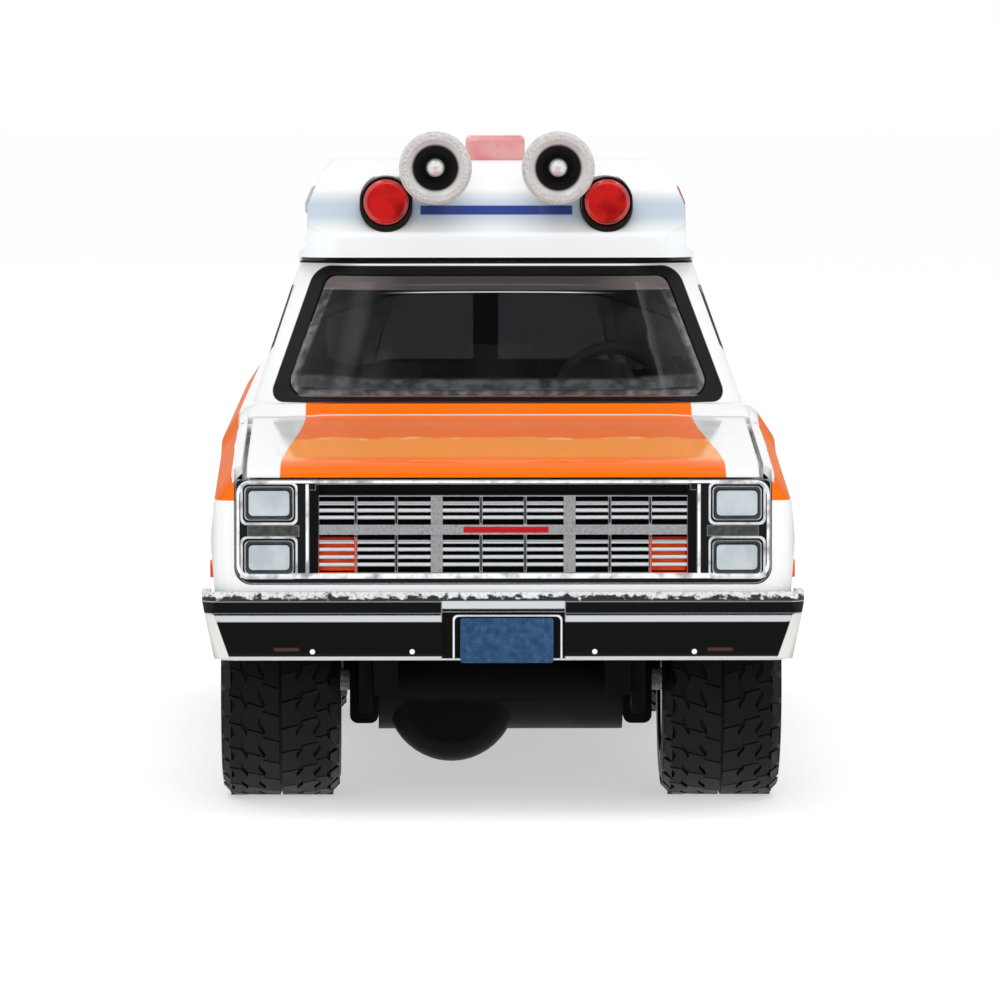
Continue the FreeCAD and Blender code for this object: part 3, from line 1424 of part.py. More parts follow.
def make_chassis_base():
    half = base_width() / 2
    start, end = depth(dim.base_front), depth(dim.base_end)
    low, high = dim.base_bottom, base_top()
    plate = prism("base_plate", "XY", low, high, rectangle(
        -half, half, start, end, dim.tank_round))
    solids = [plate]
    inner = dim.liner_inner_width / 2
    wells = []
    above = prism("liner_reach", "XY", low, dim.roof_height, rectangle(
        -dim.body_width, dim.body_width, depth(0), depth(dim.overall_length)))
    for name, setback in zip(("front", "rear"), AXLE_SETBACKS):
        for side, sign in (("left", 1), ("right", -1)):
            reach = sorted((sign * inner, sign * dim.liner_width / 2), key=float)
            form = prism(f"liner_form_{name}_{side}", "YZ", reach[0], reach[1],
                         arch_outline(setback, dim.liner_wall))
            solids.append(common(f"liner_{name}_{side}", form, above))
            reach = sorted((sign * (inner + dim.liner_wall), sign * dim.body_width), key=float)
            wells.append(prism(f"well_{name}_{side}", "YZ", reach[0], reach[1], arch_outline(setback)))
    for side, sign in (("left", 1), ("right", -1)):
        middle = sign * dim.rail_spread / 2
        solids.append(prism(f"rail_{side}", "XY", dim.rail_bottom, low + dim.fit_gap, rectangle(
            middle - dim.rail_width / 2, middle + dim.rail_width / 2, start, end)))
    for i, setback in enumerate(AXLE_SETBACKS):
        middle = depth(setback)
        solids.append(prism(f"axle_housing_{i}", "YZ", -dim.housing_width / 2, dim.housing_width / 2,
                            (middle, dim.axle_height, dim.housing_radius)))
        half_length = dim.housing_end_length / 2
        for side, sign in (("left", 1), ("right", -1)):
            inside, outside = sign * dim.housing_width / 2, sign * dim.housing_end_width / 2
            bottom = dim.housing_end_bottom
            solids.append(prism(
                f"spring_seat_{i}_{side}", "XZ", middle - half_length, middle + half_length, [
                    (inside, bottom, dim.housing_end_round), (outside, bottom, dim.housing_end_round),
                    (outside, high), (inside, high)]))
            near = sign * (dim.rail_spread / 2 + dim.rail_width / 2 + dim.fit_gap * 2)
            reach = sorted((near, near + sign * dim.spring_width), key=float)
            solids.append(prism(f"spring_{i}_{side}", "YZ", reach[0], reach[1], spring_outline(setback)))
        offset = -dim.diff_offset if i == 0 else as_size(0)
        radius = dim.diff_radius
        solids.append(lathe(f"diff_{i}", "y", [
            (-dim.diff_width / 2, as_size(0)), (-dim.diff_width / 2, radius, radius / 3),
            (dim.diff_width / 2, radius, radius / 3), (dim.diff_width / 2, as_size(0)),
        ], offset, middle, dim.diff_height))
    width = dim.gearbox_width / 2
    solids.append(prism("gearbox", "XZ", depth(dim.gearbox_start), depth(dim.gearbox_end), [
        (-width, low + dim.fit_gap), (-width, dim.gearbox_bottom, width / 3),
        (width, dim.gearbox_bottom, width / 3), (width, low + dim.fit_gap)]))
    width = dim.tank_width / 2
    solids.append(prism("tank", "XZ", depth(dim.tank_start), depth(dim.tank_end), [
        (-width, low + dim.fit_gap), (-width, dim.tank_bottom, dim.tank_round),
        (width, dim.tank_bottom, dim.tank_round), (width, low + dim.fit_gap)]))
    solids.append(prism("prop_shaft", "XZ", depth(dim.gearbox_end), depth(AXLE_SETBACKS[1]), (
        as_size(0), dim.axle_height + dim.shaft_radius, dim.shaft_radius)))
    box_start = depth(dim.gearbox_end) - dim.transfer_length
    solids.append(prism("transfer_box", "XZ", box_start, depth(dim.gearbox_end) - dim.fit_gap, rectangle(
        -dim.diff_offset - dim.transfer_width / 2, as_size(0), dim.transfer_bottom, low + dim.fit_gap,
        dim.tank_round / 2)))
    solids.append(prism("front_shaft", "XZ", depth(AXLE_SETBACKS[0]), box_start + dim.fit_gap, (
        -dim.diff_offset, dim.axle_height, dim.front_shaft_radius)))
    half = dim.rail_spread / 2
    for i, setback in enumerate((dim.exhaust_end, dim.gearbox_end)):
        start = depth(setback)
        solids.append(prism(
            f"cross_member_{i}", "XY", dim.cross_member_bottom, low + dim.fit_gap,
            rectangle(-half, half, start, start + dim.cross_member_length)))
    solids.append(prism("exhaust", "XZ", depth(dim.exhaust_start), depth(dim.exhaust_end), (
        dim.exhaust_offset, dim.exhaust_height, dim.exhaust_radius)))
    block = fuse("base_block", *solids)
    bore = dim.axle_radius + dim.bore_clearance
    tools = wells
    for i, setback in enumerate(AXLE_SETBACKS):
        tools.append(prism(f"axle_bore_{i}", "YZ", -dim.body_width, dim.body_width,
                           (depth(setback), dim.axle_height, bore)))
    for i, setback in enumerate((dim.front_rivet_setback, dim.rear_rivet_setback)):
        tools.append(rivet_bore(f"base_bore_{i}", setback, dim.rivet_radius + dim.fit_gap))
        tools.append(prism(f"rivet_sink_{i}", "XY", 0, low + dim.rivet_head_height,
                           (as_size(0), depth(setback), dim.rivet_head_radius + dim.fit_gap)))
    return cut("base_moulding", block, *tools)


def make_base_rivets():
    rivets = []
    top = base_top() + dim.boss_height * RIVET_REACH_SHARE
    for i, setback in enumerate((dim.front_rivet_setback, dim.rear_rivet_setback)):
        middle = depth(setback)
        head = dim.base_bottom + dim.rivet_head_height - dim.fit_gap
        rivets.append(fuse(
            f"rivet_{i}",
            prism(f"rivet_head_{i}", "XY", dim.base_bottom, head,
                  (as_size(0), middle, dim.rivet_head_radius)),
            prism(f"rivet_shank_{i}", "XY", dim.base_bottom, top,
                  (as_size(0), middle, dim.rivet_radius))))
    pair = doc.addObject("Part::Compound", "rivet_pair")
    pair.Links = rivets
    return pair


def make_engine():
    floor = base_top() + dim.fit_gap
    start = depth(dim.engine_start)
    end = start + dim.engine_length
    half = dim.engine_width / 2
    top = floor + dim.engine_height
    cover = dim.engine_cover_width
    section = [
        (half * ENGINE_FOOT_SHARE, floor),
        (half, floor + dim.engine_height * ENGINE_FOOT_SHARE),
        (half, top),
        (half - cover / 2, top + dim.engine_cover_height, dim.engine_cover_height / 3),
        (half - cover, top, dim.engine_cover_height / 6),
    ]
    block = prism("engine_casting", "XZ", start, end, both_sides(section))
    middle = (start + end) / 2
    neck = prism("cleaner_neck", "XY", top - dim.engine_cover_height, top + dim.engine_cover_height,
                 (as_size(0), middle, dim.cleaner_radius / 2))
    cleaner = prism("air_cleaner", "XY", top + dim.engine_cover_height,
                    top + dim.engine_cover_height + dim.cleaner_height,
                    (as_size(0), middle, dim.cleaner_radius))
    return fuse("engine_with_cleaner", block, neck, cleaner)


# Axles and wheels

def wheel_station(side):
    """X of a wheel's outer face."""
    return side * dim.track_outer_width / 2


def make_axle(name, setback):
    hub = dim.track_outer_width / 2 - dim.rim_inset - dim.rim_dish + dim.rim_hub_proud
    reach = hub - dim.fit_gap
    return prism(f"{name}_round", "YZ", -reach, reach, (depth(setback), dim.axle_height, dim.axle_radius))


def make_tyre(name, side, setback):
    outer = wheel_station(side)
    inner = outer - side * dim.tyre_width
    run, drop = dim.tyre_shoulder * side, dim.tyre_shoulder
    profile = [
        (inner, dim.tyre_bead_radius),
        (inner, dim.tyre_radius - drop),
        (inner + run, dim.tyre_radius),
        (outer - run, dim.tyre_radius),
        (outer, dim.tyre_radius - drop),
        (outer, dim.tyre_bead_radius),
    ]
    return lathe(name + "_turned", "x", profile, 0, depth(setback), dim.axle_height)


def make_rim(name, side, setback):
    outer = wheel_station(side) - side * dim.rim_inset
    inner = wheel_station(side) - side * (dim.tyre_width - dim.rim_inset / 2)
    face = outer - side * dim.rim_dish
    bore = dim.axle_radius + dim.fit_gap / 2
    radius = dim.tyre_bead_radius - dim.fit_gap
    profile = [
        (inner, bore),
        (inner, radius),
        (outer, radius),
        (outer, dim.rim_lip_radius),
        (face, dim.rim_lip_radius * RIM_FLOOR_SHARE),
        (face, dim.rim_hub_radius),
        (face + side * dim.rim_hub_proud, dim.rim_hub_radius * HUB_TOP_SHARE),
        (face + side * dim.rim_hub_proud, bore),
    ]
    disc = lathe(name + "_disc", "x", profile, 0, depth(setback), dim.axle_height)
    holes = []
    for k in range(RIM_HOLES):
        angle = 2 * math.pi * k / RIM_HOLES
        holes.append((depth(setback) + dim.rim_hole_circle * round(math.cos(angle), 6),
                      dim.axle_height + dim.rim_hole_circle * round(math.sin(angle), 6),
                      dim.rim_hole_radius))
    reach = sorted((face - side * dim.rim_dish / 2, outer), key=float)
    return cut(name + "_drilled", disc, prism(name + "_holes", "YZ", reach[0], reach[1], *holes))


node("body_shell", make_body_shell())
node("hood", make_hood())
node("roof_cap", make_roof_cap())
node("window_moulding", make_window_moulding())
node("grille_insert", make_grille_insert())
node("headlamp_lenses", make_headlamps())
node("parking_lamps", make_parking_lamps())
node("front_bumper", make_front_bumper())
node("front_plate", make_front_plate())
node("rear_bumper", make_rear_bumper())
for lamp_side, lamp_name in SIDES:
    node(f"side_marker_{lamp_name}", marker_block(f"marker_{lamp_name}", lamp_side))
    node(f"tail_lamp_{lamp_name}", tail_lamp_block(f"tail_{lamp_name}", lamp_side))
    node(f"roof_lamp_bezel_{lamp_name}", make_lamp_ring(lamp_side, lamp_name))
    node(f"roof_lamp_lens_{lamp_name}", make_lamp_lens(lamp_side, lamp_name))
    node(f"siren_horn_{lamp_name}", make_horn(lamp_side, lamp_name))
    node(f"roof_side_lamp_{lamp_name}", side_lamp_block(f"side_lamp_{lamp_name}", lamp_side))
node("roof_beacon", make_beacon())
node("interior_tub", make_interior_tub())
node("dashboard", make_dashboard())
node("steering_wheel", make_steering_wheel())
node("chassis_base", make_chassis_base())
node("base_rivets", make_base_rivets())
node("engine_block", make_engine())
for axle_name, axle_setback in zip(("front", "rear"), AXLE_SETBACKS):
    node(f"{axle_name}_axle_pin", make_axle(f"{axle_name}_axle", axle_setback))
    for wheel_side, wheel_name in SIDES:
        label = f"{axle_name}_{{}}_{wheel_name}"
        node(label.format("tyre"), make_tyre(label.format("tyre"), wheel_side, axle_setback))
        node(label.format("rim"), make_rim(label.format("rim"), wheel_side, axle_setback))


def check_and_write():
    doc.recompute()
    for thing in doc.Objects:
        bad = {"Invalid", "Error"} & set(thing.State)
        if bad:
            raise RuntimeError(f"{thing.Name} failed: {sorted(bad)}")
    for thing in NODES:
        if thing.Shape.isNull() or not thing.Shape.isValid():
            raise RuntimeError(f"{thing.Label} has no valid shape")
    os.makedirs("parts", exist_ok=True)
    for thing in NODES:
        thing.Shape.exportStep(f"parts/{thing.Label}.step")
        print(thing.Label, len(thing.Shape.Solids), round(thing.Shape.Volume, 2))


check_and_write()
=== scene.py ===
import json
import math

import bmesh
import bpy
from mathutils import Matrix, Vector


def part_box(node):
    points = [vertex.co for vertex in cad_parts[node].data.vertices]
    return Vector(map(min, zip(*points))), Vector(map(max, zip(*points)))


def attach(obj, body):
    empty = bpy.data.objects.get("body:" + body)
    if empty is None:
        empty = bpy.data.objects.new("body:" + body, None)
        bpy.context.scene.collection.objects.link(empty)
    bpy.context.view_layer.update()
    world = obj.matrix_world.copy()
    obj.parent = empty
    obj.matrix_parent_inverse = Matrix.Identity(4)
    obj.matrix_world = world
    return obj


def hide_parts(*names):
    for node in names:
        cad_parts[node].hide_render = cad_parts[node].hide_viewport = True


MM = 0.001
SIDES = {"left": 1, "right": -1}
ENDS = ("front", "rear")

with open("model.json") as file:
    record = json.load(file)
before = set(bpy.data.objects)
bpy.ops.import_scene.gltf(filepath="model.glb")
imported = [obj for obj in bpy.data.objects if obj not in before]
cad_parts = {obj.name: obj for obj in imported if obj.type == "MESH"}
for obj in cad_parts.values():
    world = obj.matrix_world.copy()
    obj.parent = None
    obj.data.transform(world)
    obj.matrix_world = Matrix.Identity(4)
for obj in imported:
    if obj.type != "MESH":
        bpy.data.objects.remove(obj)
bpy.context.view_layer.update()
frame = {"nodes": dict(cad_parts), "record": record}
nodes = frame["nodes"]


def edges(node):
    """Lowest and highest corner of a CAD node, in millimetres."""
    low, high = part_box(node)
    return low / MM, high / MM


# Short calls for a node tree

class Nodes:
    """Adds nodes to a tree; a value may be a number or another node's output."""

    def __init__(self, tree):
        self.tree = tree

    def put(self, socket, value):
        if isinstance(value, bpy.types.NodeSocket):
            self.tree.links.new(value, socket)
        else:
            socket.default_value = value

    def new(self, kind, values=None, **settings):
        node = self.tree.nodes.new(kind)
        for key, value in settings.items():
            setattr(node, key, value)
        for key, value in (values or {}).items():
            self.put(node.inputs[key], value)
        return node

    def math(self, operation, *values, clamp=False):
        node = self.new("ShaderNodeMath", dict(enumerate(values)), operation=operation)
        node.use_clamp = clamp
        return node.outputs[0]

    def plus(self, first, second):
        return self.math("ADD", first, second)

    def minus(self, first, second, clamp=False):
        return self.math("SUBTRACT", first, second, clamp=clamp)

    def times(self, first, second):
        return self.math("MULTIPLY", first, second)

    def join(self, x, y, z):
        return self.new("ShaderNodeCombineXYZ", {0: x, 1: y, 2: z}).outputs[0]

    def length(self, vector):
        node = self.new("ShaderNodeVectorMath", {0: vector}, operation="LENGTH")
        return node.outputs["Value"]

    def step(self, value, start, end, low=0.0, high=1.0):
        """Smooth change from low to high as value goes from start to end."""
        return self.new("ShaderNodeMapRange", {
            "Value": value, "From Min": start, "From Max": end, "To Min": low, "To Max": high,
        }, interpolation_type="SMOOTHSTEP").outputs[0]

    def above(self, value, level, soft=0.03):
        """One where the value is more than the level."""
        return self.step(value, level - soft, level + soft)

    def below(self, value, level, soft=0.03):
        """One where the value is less than the level."""
        return self.step(value, level + soft, level - soft)

    def band(self, value, low, high, soft=0.03):
        """One where the value lies between low and high."""
        return self.times(self.above(value, low, soft), self.below(value, high, soft))

    def size(self, value):
        return self.math("ABSOLUTE", value)

    def all_of(self, *masks):
        result = masks[0]
        for mask in masks[1:]:
            result = self.times(result, mask)
        return result

    def any_of(self, *masks):
        result = masks[0]
        for mask in masks[1:]:
            result = self.math("MAXIMUM", result, mask)
        return result

    def without(self, mask):
        return self.minus(1.0, mask)

    def mix(self, factor, first, second):
        node = self.new("ShaderNodeMix", data_type="RGBA")
        self.put(node.inputs[0], factor)
        self.put(node.inputs[6], first)
        self.put(node.inputs[7], second)
        return node.outputs[2]

    def blend(self, factor, first, second):
        """Number between first and second."""
        node = self.new("ShaderNodeMix", data_type="FLOAT")
        self.put(node.inputs[0], factor)
        self.put(node.inputs[2], first)
        self.put(node.inputs[3], second)
        return node.outputs[0]

    def noise(self, place, scale, detail=2.0, roughness=0.5):
        return self.new("ShaderNodeTexNoise", {
            "Vector": place, "Scale": scale, "Detail": detail, "Roughness": roughness}).outputs[0]

    def place(self):
        """Position on the object in millimetres, and its three parts."""
        coordinates = self.new("ShaderNodeTexCoord").outputs["Object"]
        node = self.new("ShaderNodeVectorMath", {0: coordinates, "Scale": 1 / MM}, operation="SCALE")
        parts = self.new("ShaderNodeSeparateXYZ", {0: node.outputs[0]}).outputs
        return node.outputs[0], parts[0], parts[1], parts[2]

    def facing(self):
        """Direction that the surface faces, as three parts."""
        normal = self.new("ShaderNodeNewGeometry").outputs["True Normal"]
        return self.new("ShaderNodeSeparateXYZ", {0: normal}).outputs[:]

    def group(self, group, values):
        node = self.new("ShaderNodeGroup", node_tree=group)
        for key, value in values.items():
            self.put(node.inputs[key], value)
        return node.outputs

    def panel(self, across, up, shape):
        """One inside the rounded panel that shape gives the sizes of."""
        return self.group(PANEL, {"Across": across, "Up": up, **shape})["Mask"]

    def tint(self, base, shade):
        """Base colour times a shade that changes over the surface."""
        node = self.new("ShaderNodeMix", data_type="RGBA", blend_type="MULTIPLY")
        self.put(node.inputs[0], 1.0)
        self.put(node.inputs[6], base)
        self.put(node.inputs[7], shade)
        return node.outputs[2]


def colour(red, green, blue):
    """Linear colour from the 0 to 255 values seen on a screen."""
    def linear(value):
        value /= 255
        return value / 12.92 if value <= 0.04045 else ((value + 0.055) / 1.055) ** 2.4
    return (linear(red), linear(green), linear(blue), 1.0)


def shader_group(name, inputs, outputs):
    group = bpy.data.node_groups.new(name, "ShaderNodeTree")
    for label, kind, default in inputs:
        socket = group.interface.new_socket(label, in_out="INPUT", socket_type=kind)
        if default is not None:
            socket.default_value = default
    for label, kind in outputs:
        group.interface.new_socket(label, in_out="OUTPUT", socket_type=kind)
    tree = Nodes(group)
    entry = tree.new("NodeGroupInput").outputs
    leave = tree.new("NodeGroupOutput").inputs
    return group, tree, entry, leave


FLOAT, VECTOR = "NodeSocketFloat", "NodeSocketVector"


def make_panel_mask():
    """One inside a rounded panel whose half width changes from its low to its high edge."""
    group, n, entry, leave = shader_group("rounded_panel", [
        ("Across", FLOAT, 0.0), ("Up", FLOAT, 0.0), ("Half Low", FLOAT, 1.0), ("Half High", FLOAT, 1.0),
        ("Low", FLOAT, 0.0), ("High", FLOAT, 1.0), ("Round", FLOAT, 0.2), ("Soft", FLOAT, 0.03)],
        [("Mask", FLOAT)])
    height = n.minus(entry["High"], entry["Low"])
    share = n.math("DIVIDE", n.minus(entry["Up"], entry["Low"]), height)
    half = n.blend(share, entry["Half Low"], entry["Half High"])
    across = n.minus(n.size(entry["Across"]), half)
    across = n.plus(across, entry["Round"])
    middle = n.times(n.plus(entry["Low"], entry["High"]), 0.5)
    up = n.size(n.minus(entry["Up"], middle))
    up = n.minus(up, n.times(height, 0.5))
    up = n.plus(up, entry["Round"])
    corner = n.length(n.join(n.math("MAXIMUM", across, 0.0), n.math("MAXIMUM", up, 0.0), 0.0))
    inner = n.math("MINIMUM", n.math("MAXIMUM", across, up), 0.0)
    distance = n.minus(n.plus(corner, inner), entry["Round"])
    soft = entry["Soft"]
    n.put(leave["Mask"], n.step(distance, soft, n.times(soft, -1.0)))
    return group


def make_paint_film():
    """Flow of thick sprayed paint: long low waves, specks of dust and a slight change of shade."""
    group, n, entry, leave = shader_group("paint_film", [
        ("Place", VECTOR, None), ("Wave Size", FLOAT, 0.9), ("Speck Size", FLOAT, 0.08)],
        [("Height", FLOAT), ("Shade", FLOAT), ("Gloss", FLOAT)])
    wave = n.noise(entry["Place"], n.math("DIVIDE", 1.0, entry["Wave Size"]), 1.0)
    speck = n.noise(entry["Place"], n.math("DIVIDE", 1.0, entry["Speck Size"]), 2.0)
    bump = n.step(speck, 0.74, 0.80)
    n.put(leave["Height"], n.plus(n.times(wave, 0.6), n.times(bump, 0.25)))
    cloud = n.noise(entry["Place"], 0.12, 3.0)
    n.put(leave["Shade"], n.step(cloud, 0.3, 0.7, 0.965, 1.0))
    n.put(leave["Gloss"], n.step(n.noise(entry["Place"], 0.6, 4.0), 0.35, 0.75, 0.05, 0.12))
    return group


def make_grain():
    """Stipple of cast or rough painted surfaces."""
    group, n, entry, leave = shader_group("stipple", [
        ("Place", VECTOR, None), ("Size", FLOAT, 0.2), ("Contrast", FLOAT, 0.5)],
        [("Height", FLOAT), ("Shade", FLOAT)])
    scale = n.math("DIVIDE", 1.0, entry["Size"])
    cells = n.new("ShaderNodeTexVoronoi", {"Vector": entry["Place"], "Scale": scale},
                  feature="SMOOTH_F1").outputs[0]
    fine = n.noise(entry["Place"], n.times(scale, 1.7), 3.0, 0.65)
    height = n.minus(fine, n.times(cells, 0.7))
    n.put(leave["Height"], height)
    low = n.minus(1.0, entry["Contrast"])
    n.put(leave["Shade"], n.step(height, -0.2, 0.5, low, 1.0))
    return group


def make_moulded():
    """Fine texture of moulded plastic, with flow marks."""
    group, n, entry, leave = shader_group("moulded_plastic", [
        ("Place", VECTOR, None), ("Size", FLOAT, 0.12)],
        [("Height", FLOAT), ("Gloss", FLOAT), ("Shade", FLOAT)])
    fine = n.noise(entry["Place"], n.math("DIVIDE", 1.0, entry["Size"]), 3.0)
    broad = n.noise(entry["Place"], 0.35, 4.0)
    n.put(leave["Height"], fine)
    n.put(leave["Gloss"], n.step(broad, 0.3, 0.75, 0.0, 1.0))
    n.put(leave["Shade"], n.step(broad, 0.25, 0.8, 0.8, 1.15))
    return group


PANEL = make_panel_mask()
FILM = make_paint_film()
STIPPLE = make_grain()
MOULDED = make_moulded()


def start_material(name):
    material = bpy.data.materials.new(name)
    material.use_nodes = True
    material.node_tree.nodes.clear()
    n = Nodes(material.node_tree)
    shader = n.new("ShaderNodeBsdfPrincipled")
    n.new("ShaderNodeOutputMaterial", {"Surface": shader.outputs[0]})
    return material, n, shader.inputs


def bump(n, height, strength, depth, normal=None):
    values = {"Height": height, "Strength": strength, "Distance": depth * MM}
    if normal is not None:
        values["Normal"] = normal
    return n.new("ShaderNodeBump", values).outputs[0]


def soft_edges(n, radius):
    """Normal that rounds sharp edges, as thick paint or plating does."""
    return n.new("ShaderNodeBevel", {"Radius": radius * MM}, samples=4).outputs[0]


WHITE = colour(238, 239, 239)
# Greyer white of the roof cap's lower face, painted shade
SHADED_WHITE = colour(192, 205, 218)
# Greyer white of the body's sides, painted shade
SHADED_FLANK_WHITE = colour(222, 225, 224)
ORANGE = colour(255, 112, 18)
BELT_ORANGE = colour(240, 112, 26)
BLACK = colour(9, 9, 10)
# Painted highlight on the plating's raised lines, trim and bolts
PAINTED_HIGHLIGHT = colour(240, 241, 243)


def painted_metal(name, paint):
    """Glossy paint whose colour the given function works out from the place on the casting."""
    material, n, sockets = start_material(name)
    place, x, y, z = n.place()
    film = n.group(FILM, {"Place": place})
    base, gloss, shine = paint(n, x, y, z, n.facing())
    n.put(sockets["Base Color"], n.tint(base, film["Shade"]))
    n.put(sockets["Roughness"], n.plus(film["Gloss"], gloss))
    n.put(sockets["Specular IOR Level"], shine)
    n.put(sockets["Normal"], bump(n, film["Height"], 0.25, 0.02, soft_edges(n, 0.16)))
    return material


# Painted areas of the body casting

HOOD_LOW, HOOD_HIGH = edges("hood")
GRILLE_LOW, GRILLE_HIGH = edges("grille_insert")
BELT_FRONT_EDGE, BELT_LOW = 13.975, 16.73
BELT_TOP_REAR, BELT_TOP_FRONT = 20.72, 18.95
BELT_FALL = (-21.0, -33.0)
STRIPE_REAR_HALF, STRIPE_FRONT_HALF = 10.62, 11.75
COWL_DEPTH, COWL_LOW = (-26.2, -22.0), 19.875
SCREEN_RING = {"Half Low": 12.75, "Half High": 10.15, "Low": 20.95, "High": 28.33, "Round": 0.9}
SIDE_PANES = ((-17.3, -6.9), (-4.5, 8.9), (11.9, 37.1))
PANE_RING_WIDTH = 0.22
PANE_RING = {"Low": 21.38, "High": 27.22, "Round": 1.0}
# Painted shadow: a dark line on the body round the grille insert's frame.
GRILLE_SHADOW = {"Half Low": GRILLE_HIGH.x + 0.05, "Half High": GRILLE_HIGH.x + 0.05,
              "Low": GRILLE_LOW.z + 0.08, "High": GRILLE_HIGH.z + 0.35, "Round": 0.8}
RING_DEPTH, GRILLE_SHADOW_DEPTH = -10.1, -40.25
# Level and rear end of the painted shadow under the roof cap's lip
CAP_SHADOW_LOW, CAP_SHADOW_REAR = 28.44, 35.5
CABIN_FLOOR, CABIN_CEILING, CABIN_FRONT, CABIN_REAR = 17.1, 26.75, -23.9, 30.5


def body_colours(n, x, y, z, facing):
    """White with the belt, the cowl's stripe and black rings round the panes; greyer sides, black bands
    under the cap and round the grille and a black inside are painted shade.
    """
    width = n.size(x)
    outward = n.times(facing[0], n.math("SIGN", x))
    # Painted shade: the sides below the shoulder are a greyer white, for the weaker light that falls on
    # them.
    shaded_flank = n.all_of(n.above(n.size(facing[0]), 0.8, 0.1), n.below(z, 19.0, 1.0))
    ragged = n.plus(width, n.times(n.minus(n.noise(n.join(0.0, 0.0, z), 0.9, 4.0, 0.7), 0.5), 1.6))
    belt_top = n.step(y, *BELT_FALL, BELT_TOP_REAR, BELT_TOP_FRONT)
    belt = n.all_of(n.above(ragged, BELT_FRONT_EDGE, 0.025), n.above(z, BELT_LOW),
                    n.below(n.minus(z, belt_top), 0.0), n.below(facing[2], 0.59),
                    n.above(outward, 0.045, 0.015))
    cowl = n.all_of(n.below(width, STRIPE_REAR_HALF), n.band(y, *COWL_DEPTH), n.above(z, COWL_LOW, 0.025),
                    n.above(facing[2], 0.325, 0.025))
    base = n.mix(belt, n.mix(shaded_flank, WHITE, SHADED_FLANK_WHITE), BELT_ORANGE)
    base = n.mix(cowl, base, ORANGE)

    screen = n.all_of(n.panel(x, z, SCREEN_RING), n.below(y, RING_DEPTH, 0.1),
                      n.below(facing[1], -0.25, 0.05), n.below(facing[2], 0.96, 0.01))
    panes = []
    for start, end in SIDE_PANES:
        half = (end - start) / 2 + PANE_RING_WIDTH
        shape = {**PANE_RING, "Half Low": half, "Half High": half}
        panes.append(n.panel(n.minus(y, (start + end) / 2), z, shape))
    side_rings = n.all_of(n.any_of(*panes), n.above(n.size(facing[0]), 0.725, 0.025))
    # Painted shadow: black on the body just under the roof cap's lip.
    cap_shadow = n.all_of(n.above(z, CAP_SHADOW_LOW, 0.02), n.below(y, CAP_SHADOW_REAR, 0.5),
                        n.below(facing[2], 0.925, 0.025))
    # Painted shadow round the grille insert's frame.
    grille_shadow = n.all_of(n.panel(x, z, GRILLE_SHADOW), n.below(y, GRILLE_SHADOW_DEPTH, 0.25),
                          n.below(facing[1], -0.35, 0.05))
    # Painted shade: faces inside the cab are black, so the cab reads dark through the panes.
    inside = n.any_of(n.below(outward, -0.3, 0.1),
                      n.all_of(n.below(facing[2], -0.6, 0.1), n.above(z, CABIN_CEILING, 0.25)),
                      n.all_of(n.below(facing[1], -0.6, 0.1), n.above(y, CABIN_REAR, 0.5)))
    inside = n.all_of(inside, n.above(z, CABIN_FLOOR, 0.1), n.above(y, CABIN_FRONT, 0.1))
    black = n.any_of(screen, side_rings, cap_shadow, grille_shadow, inside)
    gloss = n.blend(black, n.blend(belt, 0.02, 0.3), 0.4)
    shine = n.blend(black, n.blend(n.any_of(belt, cowl), 0.5, 0.01), 0.12)
    return n.mix(black, base, BLACK), gloss, shine


# Tones of the hood's stripe from its bent front edge to its rear, which are painted reflections: a lighter
# middle, a darker rear and a glint between

STRIPE_MIDDLE_LIT = colour(255, 160, 84)
STRIPE_REAR_SHADED = colour(248, 128, 74)
STRIPE_PAINTED_GLINT = colour(255, 214, 190)
STRIPE_BEND = (HOOD_LOW.y + 1.5, HOOD_LOW.y + 3.1)
STRIPE_TURN = -32.9


def hood_colours(n, x, y, z, facing):
    """White with an orange stripe that widens to the front, its tones painted reflections."""
    edge = n.step(y, HOOD_LOW.y, HOOD_HIGH.y, STRIPE_FRONT_HALF, STRIPE_REAR_HALF)
    outer = n.all_of(n.below(n.minus(n.size(x), edge), 0.0), n.above(facing[2], -0.15, 0.05))
    along = n.join(x, 0.0, 0.0)
    wave = n.times(n.minus(n.noise(along, 0.35, 3.0), 0.5), 3.5)
    back = n.plus(y, wave)
    bend = n.step(y, *STRIPE_BEND)
    # Painted reflections: the middle lighter, the rear darker, and a patchy glint where they meet.
    tone = n.mix(bend, ORANGE, STRIPE_MIDDLE_LIT)
    tone = n.mix(n.above(back, STRIPE_TURN, 0.3), tone, STRIPE_REAR_SHADED)
    painted_glint = n.all_of(n.band(back, STRIPE_TURN - 0.7, STRIPE_TURN - 0.2, 0.25),
                     n.above(n.noise(along, 0.5), 0.55, 0.05))
    tone = n.mix(n.times(painted_glint, 0.5), tone, STRIPE_PAINTED_GLINT)
    return n.mix(outer, WHITE, tone), 0.02, n.blend(outer, 0.4, n.blend(bend, 0.04, 0.02))


# Levels of the roof cap's front

STRIPE_BLUE = colour(38, 62, 142)
STRIPE_LEVEL, STRIPE_HALF = (31.15, 31.65), 4.275
# Painted light on the cap's front: shade on the lower face, light on the upper face and brim, shadow along
# the foot
SHADE_LEVEL = (30.7, 32.1)
CAP_BRIM, CAP_CREASE, CAP_FOOT = 30.2, 32.4, 28.78
LIT_BRIM_WHITE = colour(240, 249, 251)
LIT_UPPER_WHITE = colour(248, 249, 249)


